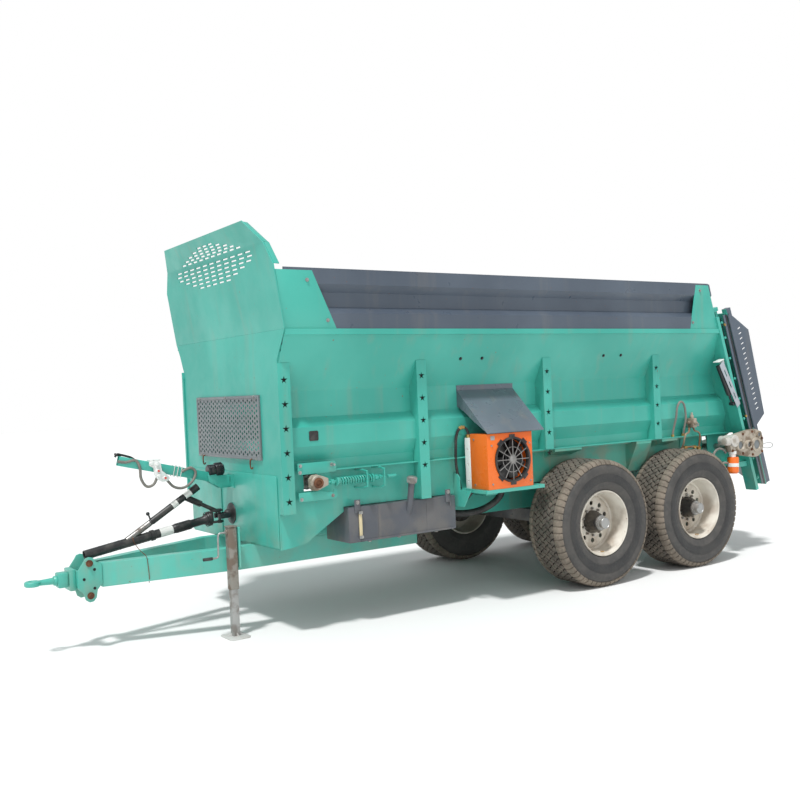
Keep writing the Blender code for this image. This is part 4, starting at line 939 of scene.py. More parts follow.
    def shield(self) -> None:
        """Makes the front shield with its bent edges and the slots above the load."""
        body = self.shop.copy_of("front_shield")
        lean = 0.145
        slots = Shape()
        rows = [(2.996 + 0.022 * row, count, half) for row, (count, half) in
                enumerate(((10, 0.62), (9, 0.52), (7, 0.42), (5, 0.3), (3, 0.17)))]
        rows += [(2.944 - 0.033 * row, count, half) for row, (count, half) in
                 enumerate(((11, 0.77), (11, 0.79), (11, 0.76), (9, 0.63), (7, 0.49), (5, 0.34)))]
        for height, count, half in rows:
            step = 2 * half / count
            deep = lean * (height - 2.337)
            for number in range(count):
                middle = -half + step * (number + 0.5)
                slot = [(middle - step * 0.3, height - 0.0065), (middle + step * 0.34, height - 0.0065),
                        (middle + step * 0.38, height), (middle + step * 0.3, height + 0.0065),
                        (middle - step * 0.34, height + 0.0065), (middle - step * 0.38, height)]
                slots.plate(slot, Plane.YZ, deep - 0.06, deep + 0.08)
        self.shop.settle("front_shield_panel", body.carved(slots), TURQUOISE,
                         replaces=("front_shield",), angle=20)
        edge = Shape()
        for side in Side:
            y = side.value
            corners = ((0.035, y * 1.077, 2.812), (0.059, y * 0.972, 2.982), (0.141, y * 0.803, 3.148))
            for start, end in zip(corners, corners[1:]):
                edge.beam(start, end, 0.05, 0.006, 0.001)
        self.shop.settle("front_shield_edges", edge, TURQUOISE)

    def screen(self) -> None:
        """Makes the perforated screen over the front window."""
        sheet = Shape().bar((0.0095, -0.638, 1.352), (0.0125, 0.62, 1.858), 0.001)
        holes = Shape()
        across, up = 30, 11
        for column in range(across):
            for row in range(up):
                y = -0.592 + column * 1.166 / (across - 1)
                z = 1.4 + row * 0.41 / (up - 1) + (0.008 if column % 2 else -0.008)
                holes.plate(disc(0.0125, (y, z), 10), Plane.YZ, -0.01, 0.03)
        self.shop.settle("front_screen_sheet", sheet.carved(holes), GREY_SCREEN, replaces=("front_screen",))
        border = Shape()
        for low, high in (((0.0003, -0.638, 1.352), (0.016, 0.62, 1.372)),
                          ((0.0003, -0.638, 1.838), (0.016, 0.62, 1.858)),
                          ((0.0003, -0.638, 1.3722), (0.016, -0.618, 1.8378)),
                          ((0.0003, 0.6, 1.3722), (0.016, 0.62, 1.8378))):
            border.bar(low, high, 0.002)
        self.shop.settle("front_screen_border", border, GREY_SCREEN)
        fixings = Shape()
        for y, z in ((-0.56, 1.848), (0.54, 1.848), (-0.01, 1.848), (-0.56, 1.362), (0.54, 1.362)):
            fixings.bolt((0.016, y, z), (1, 0, 0), 0.008)
        self.shop.settle("front_screen_bolts", fixings, GALVANISED)
        hooks = Shape()
        for y in (-0.5, 0.46):
            route = smooth_route(((0.018, y, 1.36), (0.03, y, 1.352), (0.034, y, 1.325), (0.03, y, 1.29),
                                  (0.02, y, 1.283), (0.014, y, 1.296)), 4)
            hooks.sweep(route, 0.006, 8)
        self.shop.settle("screen_hooks", hooks, RUST)

    def build(self) -> None:
        """Makes the hopper's pieces."""
        self.walls()
        self.posts()
        self.extensions()
        self.shield()
        self.screen()


# ---------------------------------------------------------------- drawbar and front gear
@dataclass
class Hitch:
    """The towing head: two cheek plates, a nose block and a forged eye."""

    shop: Workshop
    cheek: tuple[float, float] = (0.109, 0.125)
    eye_centre: Triple = (1.592, 0.0, 0.545)

    def cheeks(self) -> Shape:
        """The two cheek plates and the web between them."""
        outline = [(1.1206, 0.5), (1.1206, 0.65), (1.16, 0.664), (1.185, 0.698), (1.212, 0.706),
                   (1.24, 0.698), (1.258, 0.668), (1.3, 0.61), (1.3, 0.478), (1.262, 0.44),
                   (1.248, 0.388), (1.22, 0.368), (1.19, 0.372), (1.168, 0.398), (1.158, 0.455)]
        shape = Shape().plate(outline, Plane.XZ, *self.cheek, bevel=0.003).both_sides()
        shape.bar((1.126, -0.1085, 0.505), (1.138, 0.1085, 0.645), 0.002)
        shape.bar((1.28, -0.1085, 0.48), (1.299, 0.1085, 0.608), 0.003)
        return shape

    def nose(self) -> Shape:
        """The block that holds the eye's shank."""
        shape = Shape().bar((1.2995, -0.075, 0.462), (1.345, 0.075, 0.622), 0.006)
        shape.bar((1.3455, -0.052, 0.49), (1.42, 0.052, 0.6), 0.01)
        shape.rod((1.42, 0.0, 0.545), (1.445, 0.0, 0.545), 0.04, 0.034, 28, 0.003)
        return shape

    def eye(self) -> Shape:
        """The forged towing eye and its shank."""
        profile = [(0.0265, -0.013), (0.033, -0.0195), (0.048, -0.0195), (0.0575, -0.011), (0.058, 0.0),
                   (0.0575, 0.011), (0.048, 0.0195), (0.033, 0.0195), (0.0265, 0.013)]
        shape = Shape().lathe(profile, self.eye_centre, (0.0, 0.0, 1.0), 48)
        return shape.rod((1.4455, 0.0, 0.545), (1.545, 0.0, 0.545), 0.026, 0.0205, 28)

    def pins(self) -> Shape:
        """The two rusty cross pins, their washers and the lock nuts beside them."""
        shape = Shape()
        for station, height in ((1.212, 0.66), (1.212, 0.418)):
            shape.rod((station, 0.1255, height), (station, 0.131, height), 0.026, sides=28)
            shape.rod((station, 0.131, height), (station, 0.145, height), 0.0165, 0.015, 24)
            shape.rod((station + 0.003, 0.146, height - 0.02), (station + 0.003, 0.146, height + 0.02), 0.003,
                      sides=8)
        return shape.both_sides()

    def build(self) -> None:
        """Makes the hitch."""
        settle = self.shop.settle
        settle("hitch_cheeks", self.cheeks(), TURQUOISE_CHASSIS, replaces=("hitch_head",))
        settle("hitch_nose", self.nose(), TURQUOISE_CHASSIS)
        settle("towing_eye", self.eye(), TURQUOISE_CHASSIS)
        settle("hitch_pins", self.pins(), RUST)
        # Near-black discs on the cheeks are painted shade standing for holes.
        hole_shade_discs = Shape()
        for station, height in ((1.176, 0.61), (1.18, 0.47), (1.255, 0.545)):
            hole_shade_discs.rod((station, 0.1252, height), (station, 0.1264, height), 0.011, sides=20)
        settle("hitch_hole_shade", hole_shade_discs.both_sides(), HOLE_SHADE)


@dataclass
class DriveLine:
    """The power take-off shaft, its stowed tractor half and the strut that holds them."""

    shop: Workshop
    front: Triple = (1.215, 0.01, 0.707)
    joint: Triple = (0.13, 0.0, 0.885)
    stowed_low: Triple = (0.9, 0.006, 0.77)
    stowed_high: Triple = (0.29, 0.0, 1.1425)

    def guarded(self, start: Triple, end: Triple, steps: Sequence[Pair], wall: float = 0.0) -> Shape:
        """A shaft guard as a turned profile.

        Args:
            start: the end the profile is measured from.
            end: the other end.
            steps: radius and distance pairs.
            wall: thickness of the open end's wall, or 0 for a closed end.

        Returns:
            The guard.
        """
        way = (Vector(end) - Vector(start)).normalized()
        inner = [(steps[0][0] - wall, steps[0][1]), (steps[0][0] - wall, 0.16), (0.0, 0.16)] if wall else \
                [(0.0, steps[0][1])]
        profile = [*inner[::-1], *steps, (0.0, steps[-1][1])]
        return Shape().lathe(profile, start, tuple(way), 32)

    def ribs(self, start: Triple, end: Triple, first: float, last: float, radius: float, count: int) -> Shape:
        """Rings round a guard between two distances."""
        way = (Vector(end) - Vector(start)).normalized()
        shape = Shape()
        for number in range(count):
            place = first + (last - first) * number / (count - 1)
            ring = [(radius - 0.004, place - 0.004), (radius, place - 0.0025), (radius, place + 0.0025),
                    (radius - 0.004, place + 0.004)]
            shape.lathe(ring, start, tuple(way), 28)
        return shape

    def universal(self, centre: Triple, way: Triple, size: float) -> Shape:
        """A universal joint: two forks on a cross."""
        joint = Shape()
        flips = (Matrix.Identity(4), Matrix.Rotation(math.pi / 2, 4, "Z") @ Matrix.Rotation(math.pi, 4, "X"))
        for flip in flips:
            fork = Shape()
            for ear in (1.0, -1.0):
                fork.bar((ear * size * 0.62, -size * 0.34, -size * 0.45),
                         (ear * size * 0.9, size * 0.34, size * 1.1), 0.004)
                fork.rod((ear * size * 0.58, 0, 0), (ear * size * 0.98, 0, 0), size * 0.3, sides=20)
            fork.bar((-size * 0.9, -size * 0.34, size * 0.95), (size * 0.9, size * 0.34, size * 1.25), 0.004)
            joint.added(fork.moved(flip))
        joint.rod((-size * 0.6, 0, 0), (size * 0.6, 0, 0), size * 0.2, sides=16)
        joint.rod((0, -size * 0.6, 0), (0, size * 0.6, 0), size * 0.2, sides=16)
        return joint.moved(spread(Vector(centre), Vector(centre) + Vector(way)))

    def driven_half(self) -> None:
        """Makes the shaft on the machine's side, with its joint and hub."""
        settle = self.shop.settle
        guard = self.guarded(self.front, self.joint, (
            (0.036, 0.0), (0.036, 0.52), (0.042, 0.524), (0.042, 0.552), (0.035, 0.556), (0.035, 0.72),
            (0.037, 0.724), (0.037, 0.86), (0.033, 0.866), (0.033, 0.965), (0.042, 0.985), (0.056, 1.01),
            (0.058, 1.03)), 0.004)
        settle("shaft_guard", guard, BLACK_PLASTIC, replaces=("pto_shaft",))
        ribs = self.ribs(self.front, self.joint, 0.735, 0.85, 0.0395, 10)
        ribs.added(self.ribs(self.front, self.joint, 0.12, 0.5, 0.0375, 6))
        settle("shaft_ribs", ribs, BLACK_PLASTIC)
        band = self.ribs(self.front, self.joint, 0.6, 0.7, 0.0358, 26)
        settle("shaft_label", band, WHITE_PLASTIC)
        crossing = self.universal((0.118, 0.0, 0.8865), (-1.0, 0.0, 0.03), 0.06)
        crossing.added(self.ribs((0.24, 0.0, 0.8667), (0.12, 0.0, 0.8865), 0.008, 0.04, 0.06, 3))
        settle("shaft_joint", crossing, BLACK_PAINT)
        flange = Shape().lathe([(0.0, 0.062), (0.034, 0.062), (0.036, 0.058), (0.036, 0.03), (0.052, 0.026),
                                (0.06, 0.02), (0.086, 0.016), (0.088, 0.0095), (0.0, 0.0095)],
                               (0.0, 0.0, 0.896), (1.0, 0.0, 0.0), 40)
        settle("shaft_hub", flange, BLACK_PLASTIC)

    def stowed_half(self) -> None:
        """Makes the stowed tractor half, its strut and its yoke."""
        settle = self.shop.settle
        stowed = self.guarded(self.stowed_low, self.stowed_high, (
            (0.023, 0.0), (0.023, 0.25), (0.027, 0.254), (0.027, 0.64), (0.03, 0.644), (0.03, 0.712)),
            0.003)
        settle("stowed_shaft", stowed, BLACK_PLASTIC)
        teeth = self.ribs(self.stowed_low, self.stowed_high, 0.02, 0.23, 0.0248, 24)
        settle("stowed_splines", teeth, STEEL)
        labels = self.ribs(self.stowed_low, self.stowed_high, 0.455, 0.5, 0.0283, 12)
        labels.added(self.ribs(self.stowed_low, self.stowed_high, 0.58, 0.635, 0.0283, 14))
        settle("stowed_labels", labels, WHITE_PLASTIC)
        lever = Shape().beam((0.69, 0.004, 0.905), (0.708, 0.004, 0.962), 0.016, 0.01, 0.002)
        lever.ball((0.712, 0.004, 0.966), 0.015)
        settle("stowed_lever", lever, BLACK_PLASTIC)
        strut = Shape().rod((0.412, 0.0, 1.072), (0.135, 0.0, 0.925), 0.0165, sides=20)
        strut.added(self.ribs((0.412, 0.0, 1.072), (0.135, 0.0, 0.925), 0.03, 0.155, 0.026, 11))
        strut.rod((0.392, 0.0, 1.0614), (0.296, 0.0, 1.0105), 0.0235, sides=22)
        settle("shaft_strut", strut, BLACK_PLASTIC)
        top = Shape().lathe([(0.0, 0.0), (0.04, 0.0), (0.046, 0.008), (0.046, 0.05), (0.036, 0.056),
                             (0.05, 0.064), (0.054, 0.075), (0.054, 0.12), (0.044, 0.132), (0.0, 0.132)],
                            (0.205, 0.004, 1.262), (-0.975, 0.0, 0.05), 36)
        top.added(self.ribs((0.205, 0.004, 1.262), (0.075, 0.004, 1.2687), 0.072, 0.116, 0.0575, 5))
        top.rod((0.165, -0.052, 1.262), (0.165, 0.056, 1.262), 0.02, sides=22, bevel=0.002)
        top.rod((0.19, 0.004, 1.225), (0.19, 0.004, 1.31), 0.014, sides=18, bevel=0.002)
        settle("tractor_yoke", top, BLACK_PAINT)

    def build(self) -> None:
        """Makes both halves of the shaft and the wire that ties it up."""
        self.driven_half()
        self.stowed_half()
        tie = smooth_route(((0.845, 0.02, 0.812), (0.85, 0.052, 0.775), (0.832, 0.06, 0.735),
                            (0.82, 0.12, 0.7), (0.808, 0.208, 0.668), (0.8, 0.213, 0.6), (0.795, 0.214, 0.51),
                            (0.79, 0.19, 0.462)), 5)
        self.shop.settle("wire_tie", Shape().sweep(tie, 0.0028, 6), RUST)
        self.shop.dress("driveline_shaft", BLACK_PAINT, 0.002)


@dataclass
class HoseArm:
    """The arm over the drawbar that carries the hydraulic and electric lines."""

    shop: Workshop
    foot: Triple = (0.06, 0.0, 1.178)
    tip: Triple = (0.925, 0.0, 1.398)

    def arm(self) -> Shape:
        """The open-ended square tube."""
        tube = Shape().beam(self.foot, self.tip, 0.05, 0.075, 0.005)
        way = (Vector(self.tip) - Vector(self.foot)).normalized()
        inner = tuple(Vector(self.tip) - way * 0.12)
        outer = tuple(Vector(self.tip) + way * 0.05)
        return tube.carved(Shape().beam(inner, outer, 0.042, 0.067))

    def bracket(self) -> Shape:
        """The folded bracket on the front wall, with its slotted ear."""
        outline = [(0.01, 1.118), (0.108, 1.112), (0.15, 1.14), (0.205, 1.172), (0.215, 1.246), (0.06, 1.214),
                   (0.01, 1.214)]
        side = Shape().plate(outline, Plane.XZ, 0.0262, 0.0312, 0.0015)
        side.plate([(0.0095, 1.108), (0.0155, 1.108), (0.0155, 1.22), (0.0095, 1.22)], Plane.XZ, 0.0312,
                   0.078)
        side.both_sides()
        slots = Shape().plate([(0.02, 1.15), (0.028, 1.15), (0.028, 1.2), (0.02, 1.2)], Plane.XZ, -0.1, 0.1)
        return side.tidied().carved(slots)

    def valve(self) -> Shape:
        """The pale coupling block that hangs on the arm."""
        outline = [(0.7, 1.372), (0.668, 1.388), (0.628, 1.38), (0.608, 1.35), (0.602, 1.3), (0.56, 1.262),
                   (0.54, 1.238), (0.556, 1.214), (0.6, 1.21), (0.64, 1.232), (0.662, 1.27), (0.668, 1.325),
                   (0.7, 1.345)]
        shape = Shape().plate(outline, Plane.XZ, 0.05, 0.066, 0.003)
        shape.bar((0.61, -0.03, 1.379), (0.69, 0.066, 1.39), 0.002)
        for station, height in ((0.64, 1.352), (0.682, 1.362), (0.634, 1.3), (0.626, 1.262), (0.582, 1.24)):
            shape.rod((station, 0.066, height), (station, 0.078, height), 0.0155, 0.014, 22, 0.002)
        return shape

    def lines(self) -> Shape:
        """The lines on the arm's far side, led over its tip."""
        lower = smooth_route(((0.94, -0.012, 1.452), (0.9, -0.034, 1.43), (0.85, -0.038, 1.38),
                              (0.78, -0.038, 1.352), (0.7, -0.038, 1.335), (0.6, -0.038, 1.3),
                              (0.5, -0.038, 1.27), (0.42, -0.038, 1.258)), 4)
        upper = smooth_route(((0.95, 0.012, 1.43), (0.93, 0.014, 1.45), (0.9, 0.01, 1.443),
                              (0.84, -0.006, 1.425), (0.8, -0.028, 1.408), (0.76, -0.036, 1.37),
                              (0.7, -0.0365, 1.315)), 4)
        return Shape().sweep(lower, 0.0085, 10).sweep(upper, 0.0085, 10)

    def ties(self) -> Shape:
        """White cable ties round the arm."""
        shape = Shape()
        way = (Vector(self.tip) - Vector(self.foot)).normalized()
        for distance in (0.385, 0.415, 0.445):
            middle = Vector(self.foot) + way * distance
            near, far = tuple(middle - way * 0.003), tuple(middle + way * 0.003)
            ring = Shape().beam(near, far, 0.06, 0.094, 0.001)
            hole = Shape().beam(tuple(middle - way * 0.02), tuple(middle + way * 0.02), 0.0565, 0.0905)
            shape.added(ring.carved(hole))
        return shape

    def free_hose(self) -> None:
        """The looped free hose, on the route that the frame gives it."""
        knots = ((0.935, 0.0363, 1.395), (0.87, 0.0363, 1.385), (0.8, 0.0363, 1.395), (0.768, 0.0363, 1.34),
                 (0.762, 0.0363, 1.25), (0.722, 0.0363, 1.185), (0.665, 0.0363, 1.195),
                 (0.628, 0.0363, 1.258), (0.6, 0.0363, 1.288), (0.56, 0.0363, 1.225), (0.5, 0.0363, 1.16),
                 (0.42, 0.0363, 1.148), (0.345, 0.0363, 1.195), (0.318, 0.0363, 1.262), (0.352, 0.0363, 1.3),
                 (0.4, 0.0363, 1.29), (0.43, 0.0363, 1.275))
        lay_hose(self.shop, "front_hose_run", "front_hose", knots)

    def build(self) -> None:
        """Makes the arm and what hangs on it."""
        settle = self.shop.settle
        settle("hose_arm_tube", self.arm(), TURQUOISE, replaces=("hose_arm",))
        settle("hose_arm_bracket", self.bracket(), TURQUOISE)
        settle("coupling_block", self.valve(), WHITE)
        plugs = Shape()
        for station, height in ((0.634, 1.3), (0.582, 1.24)):
            plugs.rod((station, 0.078, height), (station, 0.082, height), 0.0095, sides=20)
        settle("coupling_plugs", plugs, RED)
        settle("arm_lines", self.lines(), HOSE)
        settle("arm_ties", self.ties(), WHITE_PLASTIC)
        self.free_hose()


def lay_hose(shop: Workshop, name: str, node: str, knots: Sequence[Triple], radius: float = 0.011) -> None:
    """Args:
        shop: the workshop.
        name: the piece's name.
        node: the frame's hose.
        knots: the points its route passes.
        radius: half its thickness.
    """
    route = smooth_route(knots)
    piece = shop.settle(name, Shape().sweep(route, radius, 14), HOSE_GREY, replaces=(node,))


@dataclass
class Jack:
    """The swinging stand beside the drawbar: square tube, leg with its foot, and crank."""

    shop: Workshop
    station: float = 0.235
    offset: float = 0.49
    half: float = 0.035

    def tube(self) -> Shape:
        """The outer tube with its cap and collar."""
        x, y = self.station, self.offset
        tube = Shape().bar((x - self.half, y - self.half, 0.37), (x + self.half, y + self.half, 0.852), 0.008)
        tube = tube.carved(Shape().bar((x - 0.0295, y - 0.0295, 0.3), (x + 0.0295, y + 0.0295, 0.8)))
        tube.bar((x - 0.039, y - 0.039, 0.8525), (x + 0.039, y + 0.039, 0.862), 0.003)
        tube.rod((x + self.half, y, 0.815), (x + self.half + 0.012, y, 0.815), 0.022, sides=24, bevel=0.002)
        return tube

    def crank(self) -> Shape:
        """The bent crank with its grip."""
        x, y = self.station + self.half, self.offset
        route = smooth_route(((x + 0.01, y, 0.815), (x + 0.05, y, 0.815), (x + 0.066, y, 0.806),
                              (x + 0.072, y, 0.785), (x + 0.074, y, 0.72), (x + 0.076, y, 0.65),
                              (x + 0.084, y, 0.632), (x + 0.104, y, 0.628), (x + 0.13, y, 0.628)), 4)
        return Shape().sweep(route, 0.0075, 12)

    def build(self) -> None:
        """Makes the jack's pieces on their bodies."""
        x, y = self.station, self.offset
        settle = self.shop.settle
        settle("jack_outer_tube", self.tube(), WEATHERED, "jack_tube", ("jack_tube",))
        settle("jack_crank", self.crank(), GALVANISED, "jack_tube", slot="grey_paint")
        grip = Shape().rod((x + 0.16, y, 0.628), (x + 0.235, y, 0.628), 0.0135, 0.0125, 20, 0.003)
        settle("jack_crank_grip", grip, BLACK_PLASTIC, "jack_tube")
        leg = Shape().bar((x - 0.0285, y - 0.0285, 0.0125), (x + 0.0285, y + 0.0285, 0.425), 0.004)
        settle("jack_inner_leg", leg, GALVANISED, "jack_leg", ("jack_leg",), slot="grey_paint")
        foot = Shape().plate([(x - 0.085, y - 0.09), (x - 0.065, y - 0.11), (x + 0.065, y - 0.11),
                              (x + 0.085, y - 0.09), (x + 0.085, y + 0.09), (x + 0.065, y + 0.11),
                              (x - 0.065, y + 0.11), (x - 0.085, y + 0.09)], Plane.XY, 0.0, 0.0122, 0.002)
        for turn in range(4):
            rib = Shape().plate([(0.029, 0.0123), (0.075, 0.0123), (0.029, 0.034)], Plane.XZ, -0.003, 0.003)
            rib.moved(Matrix.Translation((x, y, 0.0)) @ Matrix.Rotation(TURN * turn / 4, 4, "Z"))
            foot.added(rib)
        settle("jack_foot", foot, PALE_METAL, "jack_leg")


# ---------------------------------------------------------------- side gear
@dataclass
class ConveyorFront:
    """The floor conveyor's front shaft with its cast bearings and spring tensioners."""

    shop: Workshop
    station: float = -0.274
    height: float = 1.174
    rod_height: float = 1.168
    rod_offset: float = 0.945

    def bearing(self) -> Shape:
        """A cast take-up bearing, on the left."""
        x, z = self.station, self.height
        outline = [(x + 0.056, z - 0.03), (x + 0.056, z + 0.034), (x + 0.03, z + 0.06), (x - 0.01, z + 0.062),
                   (x - 0.058, z + 0.046), (x - 0.088, z + 0.034), (x - 0.108, z + 0.026),
                   (x - 0.108, z - 0.026), (x - 0.086, z - 0.034), (x - 0.056, z - 0.046),
                   (x - 0.01, z - 0.062), (x + 0.03, z - 0.058)]
        shape = Shape().plate(outline, Plane.XZ, 0.928, 0.958, 0.005)
        return shape.lathe([(0.0335, 0.0), (0.058, 0.0), (0.06, 0.006), (0.055, 0.026), (0.05, 0.032),
                            (0.0335, 0.032)], (x, 0.9582, z), (0, 1, 0), 40)

    def boss(self) -> Shape:
        """The rusty ring and the shaft's end."""
        x, z = self.station, self.height
        return Shape().lathe([(0.0, 0.0), (0.0325, 0.0), (0.0325, 0.04), (0.04, 0.042), (0.04, 0.052),
                              (0.024, 0.054), (0.022, 0.042), (0.0, 0.04)], (x, 0.952, z), (0, 1, 0), 36)

    def plates(self) -> Shape:
        """The teal guide plates over and under the slot."""
        x, z = self.station, self.height
        upper = [(x + 0.142, z + 0.068), (x + 0.142, z + 0.155), (x - 0.172, z + 0.155),
                 (x - 0.19, z + 0.138), (x - 0.19, z + 0.072), (x - 0.06, z + 0.068)]
        lower = [(x + 0.142, z - 0.068), (x + 0.142, z - 0.138), (x - 0.17, z - 0.138), (x - 0.19, z - 0.12),
                 (x - 0.19, z - 0.062), (x - 0.16, z - 0.062), (x - 0.16, z - 0.09), (x - 0.05, z - 0.068)]
        shape = Shape().plate(upper, Plane.XZ, 0.933, 0.9395, 0.0015)
        return shape.plate(lower, Plane.XZ, 0.933, 0.9395, 0.0015)

    def tensioner(self) -> Shape:
        """The spring on its rod, with seats, clips and the rod's end."""
        y, z = self.rod_offset, self.rod_height
        shape = Shape().rod((-0.382, y, z), (-0.88, y, z), 0.0105, sides=16)
        shape.coil((-0.47, y, z), (-0.77, y, z), 0.026, 0.0062, 13)
        for station, length, radius in ((-0.405, 0.028, 0.02), (-0.452, 0.016, 0.034), (-0.772, 0.012, 0.034),
                                        (-0.8, 0.03, 0.022), (-0.842, 0.022, 0.02)):
            shape.rod((station, y, z), (station - length, y, z), radius, sides=6 if radius < 0.03 else 24)
        shape.rod((-0.93, y - 0.006, z), (-1.01, y - 0.006, z), 0.013, sides=16, bevel=0.003)
        return shape

    def clips(self) -> Shape:
        """The U-shaped guides that hold the rod to the sill."""
        z = self.rod_height
        shape = Shape()
        for station, reach, high in ((-0.7, 0.986, 0.07), (-0.862, 0.982, 0.078)):
            route = [Vector(point) for point in ((station + 0.03, 0.872, z + high), (station, 0.94, z + high),
                                                 (station - 0.01, reach, z + high * 0.85),
                                                 (station - 0.012, reach, z),
                                                 (station - 0.01, reach, z - high * 0.85),
                                                 (station, 0.94, z - high),
                                                 (station + 0.03, 0.872, z - high))]
            for start, end in zip(route, route[1:]):
                shape.beam(tuple(start), tuple(end), 0.012, 0.012, 0.001)
                shape.ball(tuple(end), 0.0085)
        return shape

    def build(self) -> None:
        """Makes both sides and the shaft between them."""
        settle = self.shop.settle
        shaft = Shape().rod((self.station, -0.925, self.height), (self.station, 0.925, self.height), 0.032,
                            sides=32)
        shaft.sprockets(self.station, self.height)
        settle("conveyor_shaft", shaft, STEEL, replaces=("conveyor_front_shaft",))
        settle("shaft_bearings", self.bearing().both_sides(), CAST)
        settle("shaft_end_rings", self.boss().both_sides(), RUST)
        settle("bearing_guides", self.plates().both_sides(), TURQUOISE)
        bolts = Shape()
        x, z = self.station, self.height
        for across, up in ((0.12, 0.135), (-0.15, 0.128), (0.12, -0.12), (-0.15, -0.112), (0.125, 0.085)):
            bolts.bolt((x + across, 0.9395, z + up), (0, 1, 0), 0.0095)
        bolts.rod((x - 0.15, 0.945, z + 0.128), (x - 0.15, 0.985, z + 0.128), 0.009, sides=14)
        settle("bearing_guide_bolts", bolts.both_sides(), GALVANISED)
        settle("tensioners", self.tensioner().both_sides(), TURQUOISE)
        settle("tensioner_clips", self.clips().both_sides(), TURQUOISE)


@dataclass
class OilTank:
    """The oil tank under the left wall, with its gauge and filler."""

    shop: Workshop
    low: Triple = (-1.6, 0.56, 0.668)
    high: Triple = (-0.56, 0.93, 0.95)

    def build(self) -> None:
        """Makes the tank's pieces."""
        settle = self.shop.settle
        face = self.high[1]
        tank = Shape().bar(self.low, self.high, 0.01)
        tank.beam((-1.115, face - 0.02, self.low[2] + 0.012), (-1.115, face + 0.0035, self.low[2] + 0.012),
                  0.9, 0.014)
        settle("tank_body", tank, SLATE_DULL, replaces=("oil_tank",))
        seams = Shape()
        for station in (-1.3, -0.83):
            seams.bar((station - 0.002, face - 0.004, 0.672), (station + 0.002, face + 0.0018, 0.946), 0.0008)
        settle("tank_seams", seams, SLATE_DULL)
        tabs = Shape()
        for station in (-0.64, -1.52):
            tabs.bar((station - 0.026, face + 0.0005, 0.9), (station + 0.026, face + 0.0085, 1.006), 0.003)
            tabs.beam((station - 0.02, face + 0.004, 0.905), (station - 0.02, face + 0.004, 0.86), 0.008,
                      0.01)
        settle("tank_tabs", tabs, SLATE_DULL)
        bolts = Shape()
        for station in (-0.64, -1.52):
            bolts.bolt((station, face + 0.0085, 0.985), (0, 1, 0), 0.011)
        for station in (-0.78, -1.06, -1.43):
            bolts.bolt((station, self.high[1] - 0.06, self.low[2]), (0, 0, -1), 0.016)
        settle("tank_bolts", bolts, GALVANISED)
        gauge = Shape().bar((-0.673, face + 0.004, 0.712), (-0.647, face + 0.018, 0.902), 0.004)
        settle("tank_gauge", gauge, CREAM_PLASTIC)
        ends = Shape()
        for height in (0.7, 0.892):
            ends.bar((-0.677, face + 0.001, height), (-0.643, face + 0.026, height + 0.022), 0.003)
            ends.bolt((-0.66, face + 0.026, height + 0.011), (0, 1, 0), 0.008)
        settle("gauge_ends", ends, GALVANISED)
        self.filler()

    def filler(self) -> None:
        """Makes the filler pipe and its cap."""
        settle = self.shop.settle
        pipe = smooth_route(((-1.128, 0.905, 0.84), (-1.129, 0.928, 0.89), (-1.131, 0.945, 0.94),
                             (-1.133, 0.96, 1.02), (-1.135, 0.975, 1.108)), 4)
        settle("filler_pipe", Shape().sweep(pipe, 0.026, 24), SLATE_DULL)
        cap = Shape().lathe([(0.0, 0.0), (0.037, 0.0), (0.039, 0.004), (0.039, 0.046), (0.034, 0.052),
                             (0.0, 0.054)], (-1.135, 0.975, 1.098), (-0.02, 0.165, 0.97), 40)
        grips = Shape().rod((-1.096, 0.976, 1.104), (-1.096, 0.983, 1.142), 0.0026, sides=6)
        grips.copies(26, (-1.135, 0.975, 1.098), Vector((-0.02, 0.165, 0.97)).normalized())
        settle("filler_cap", cap.added(grips), GALVANISED)


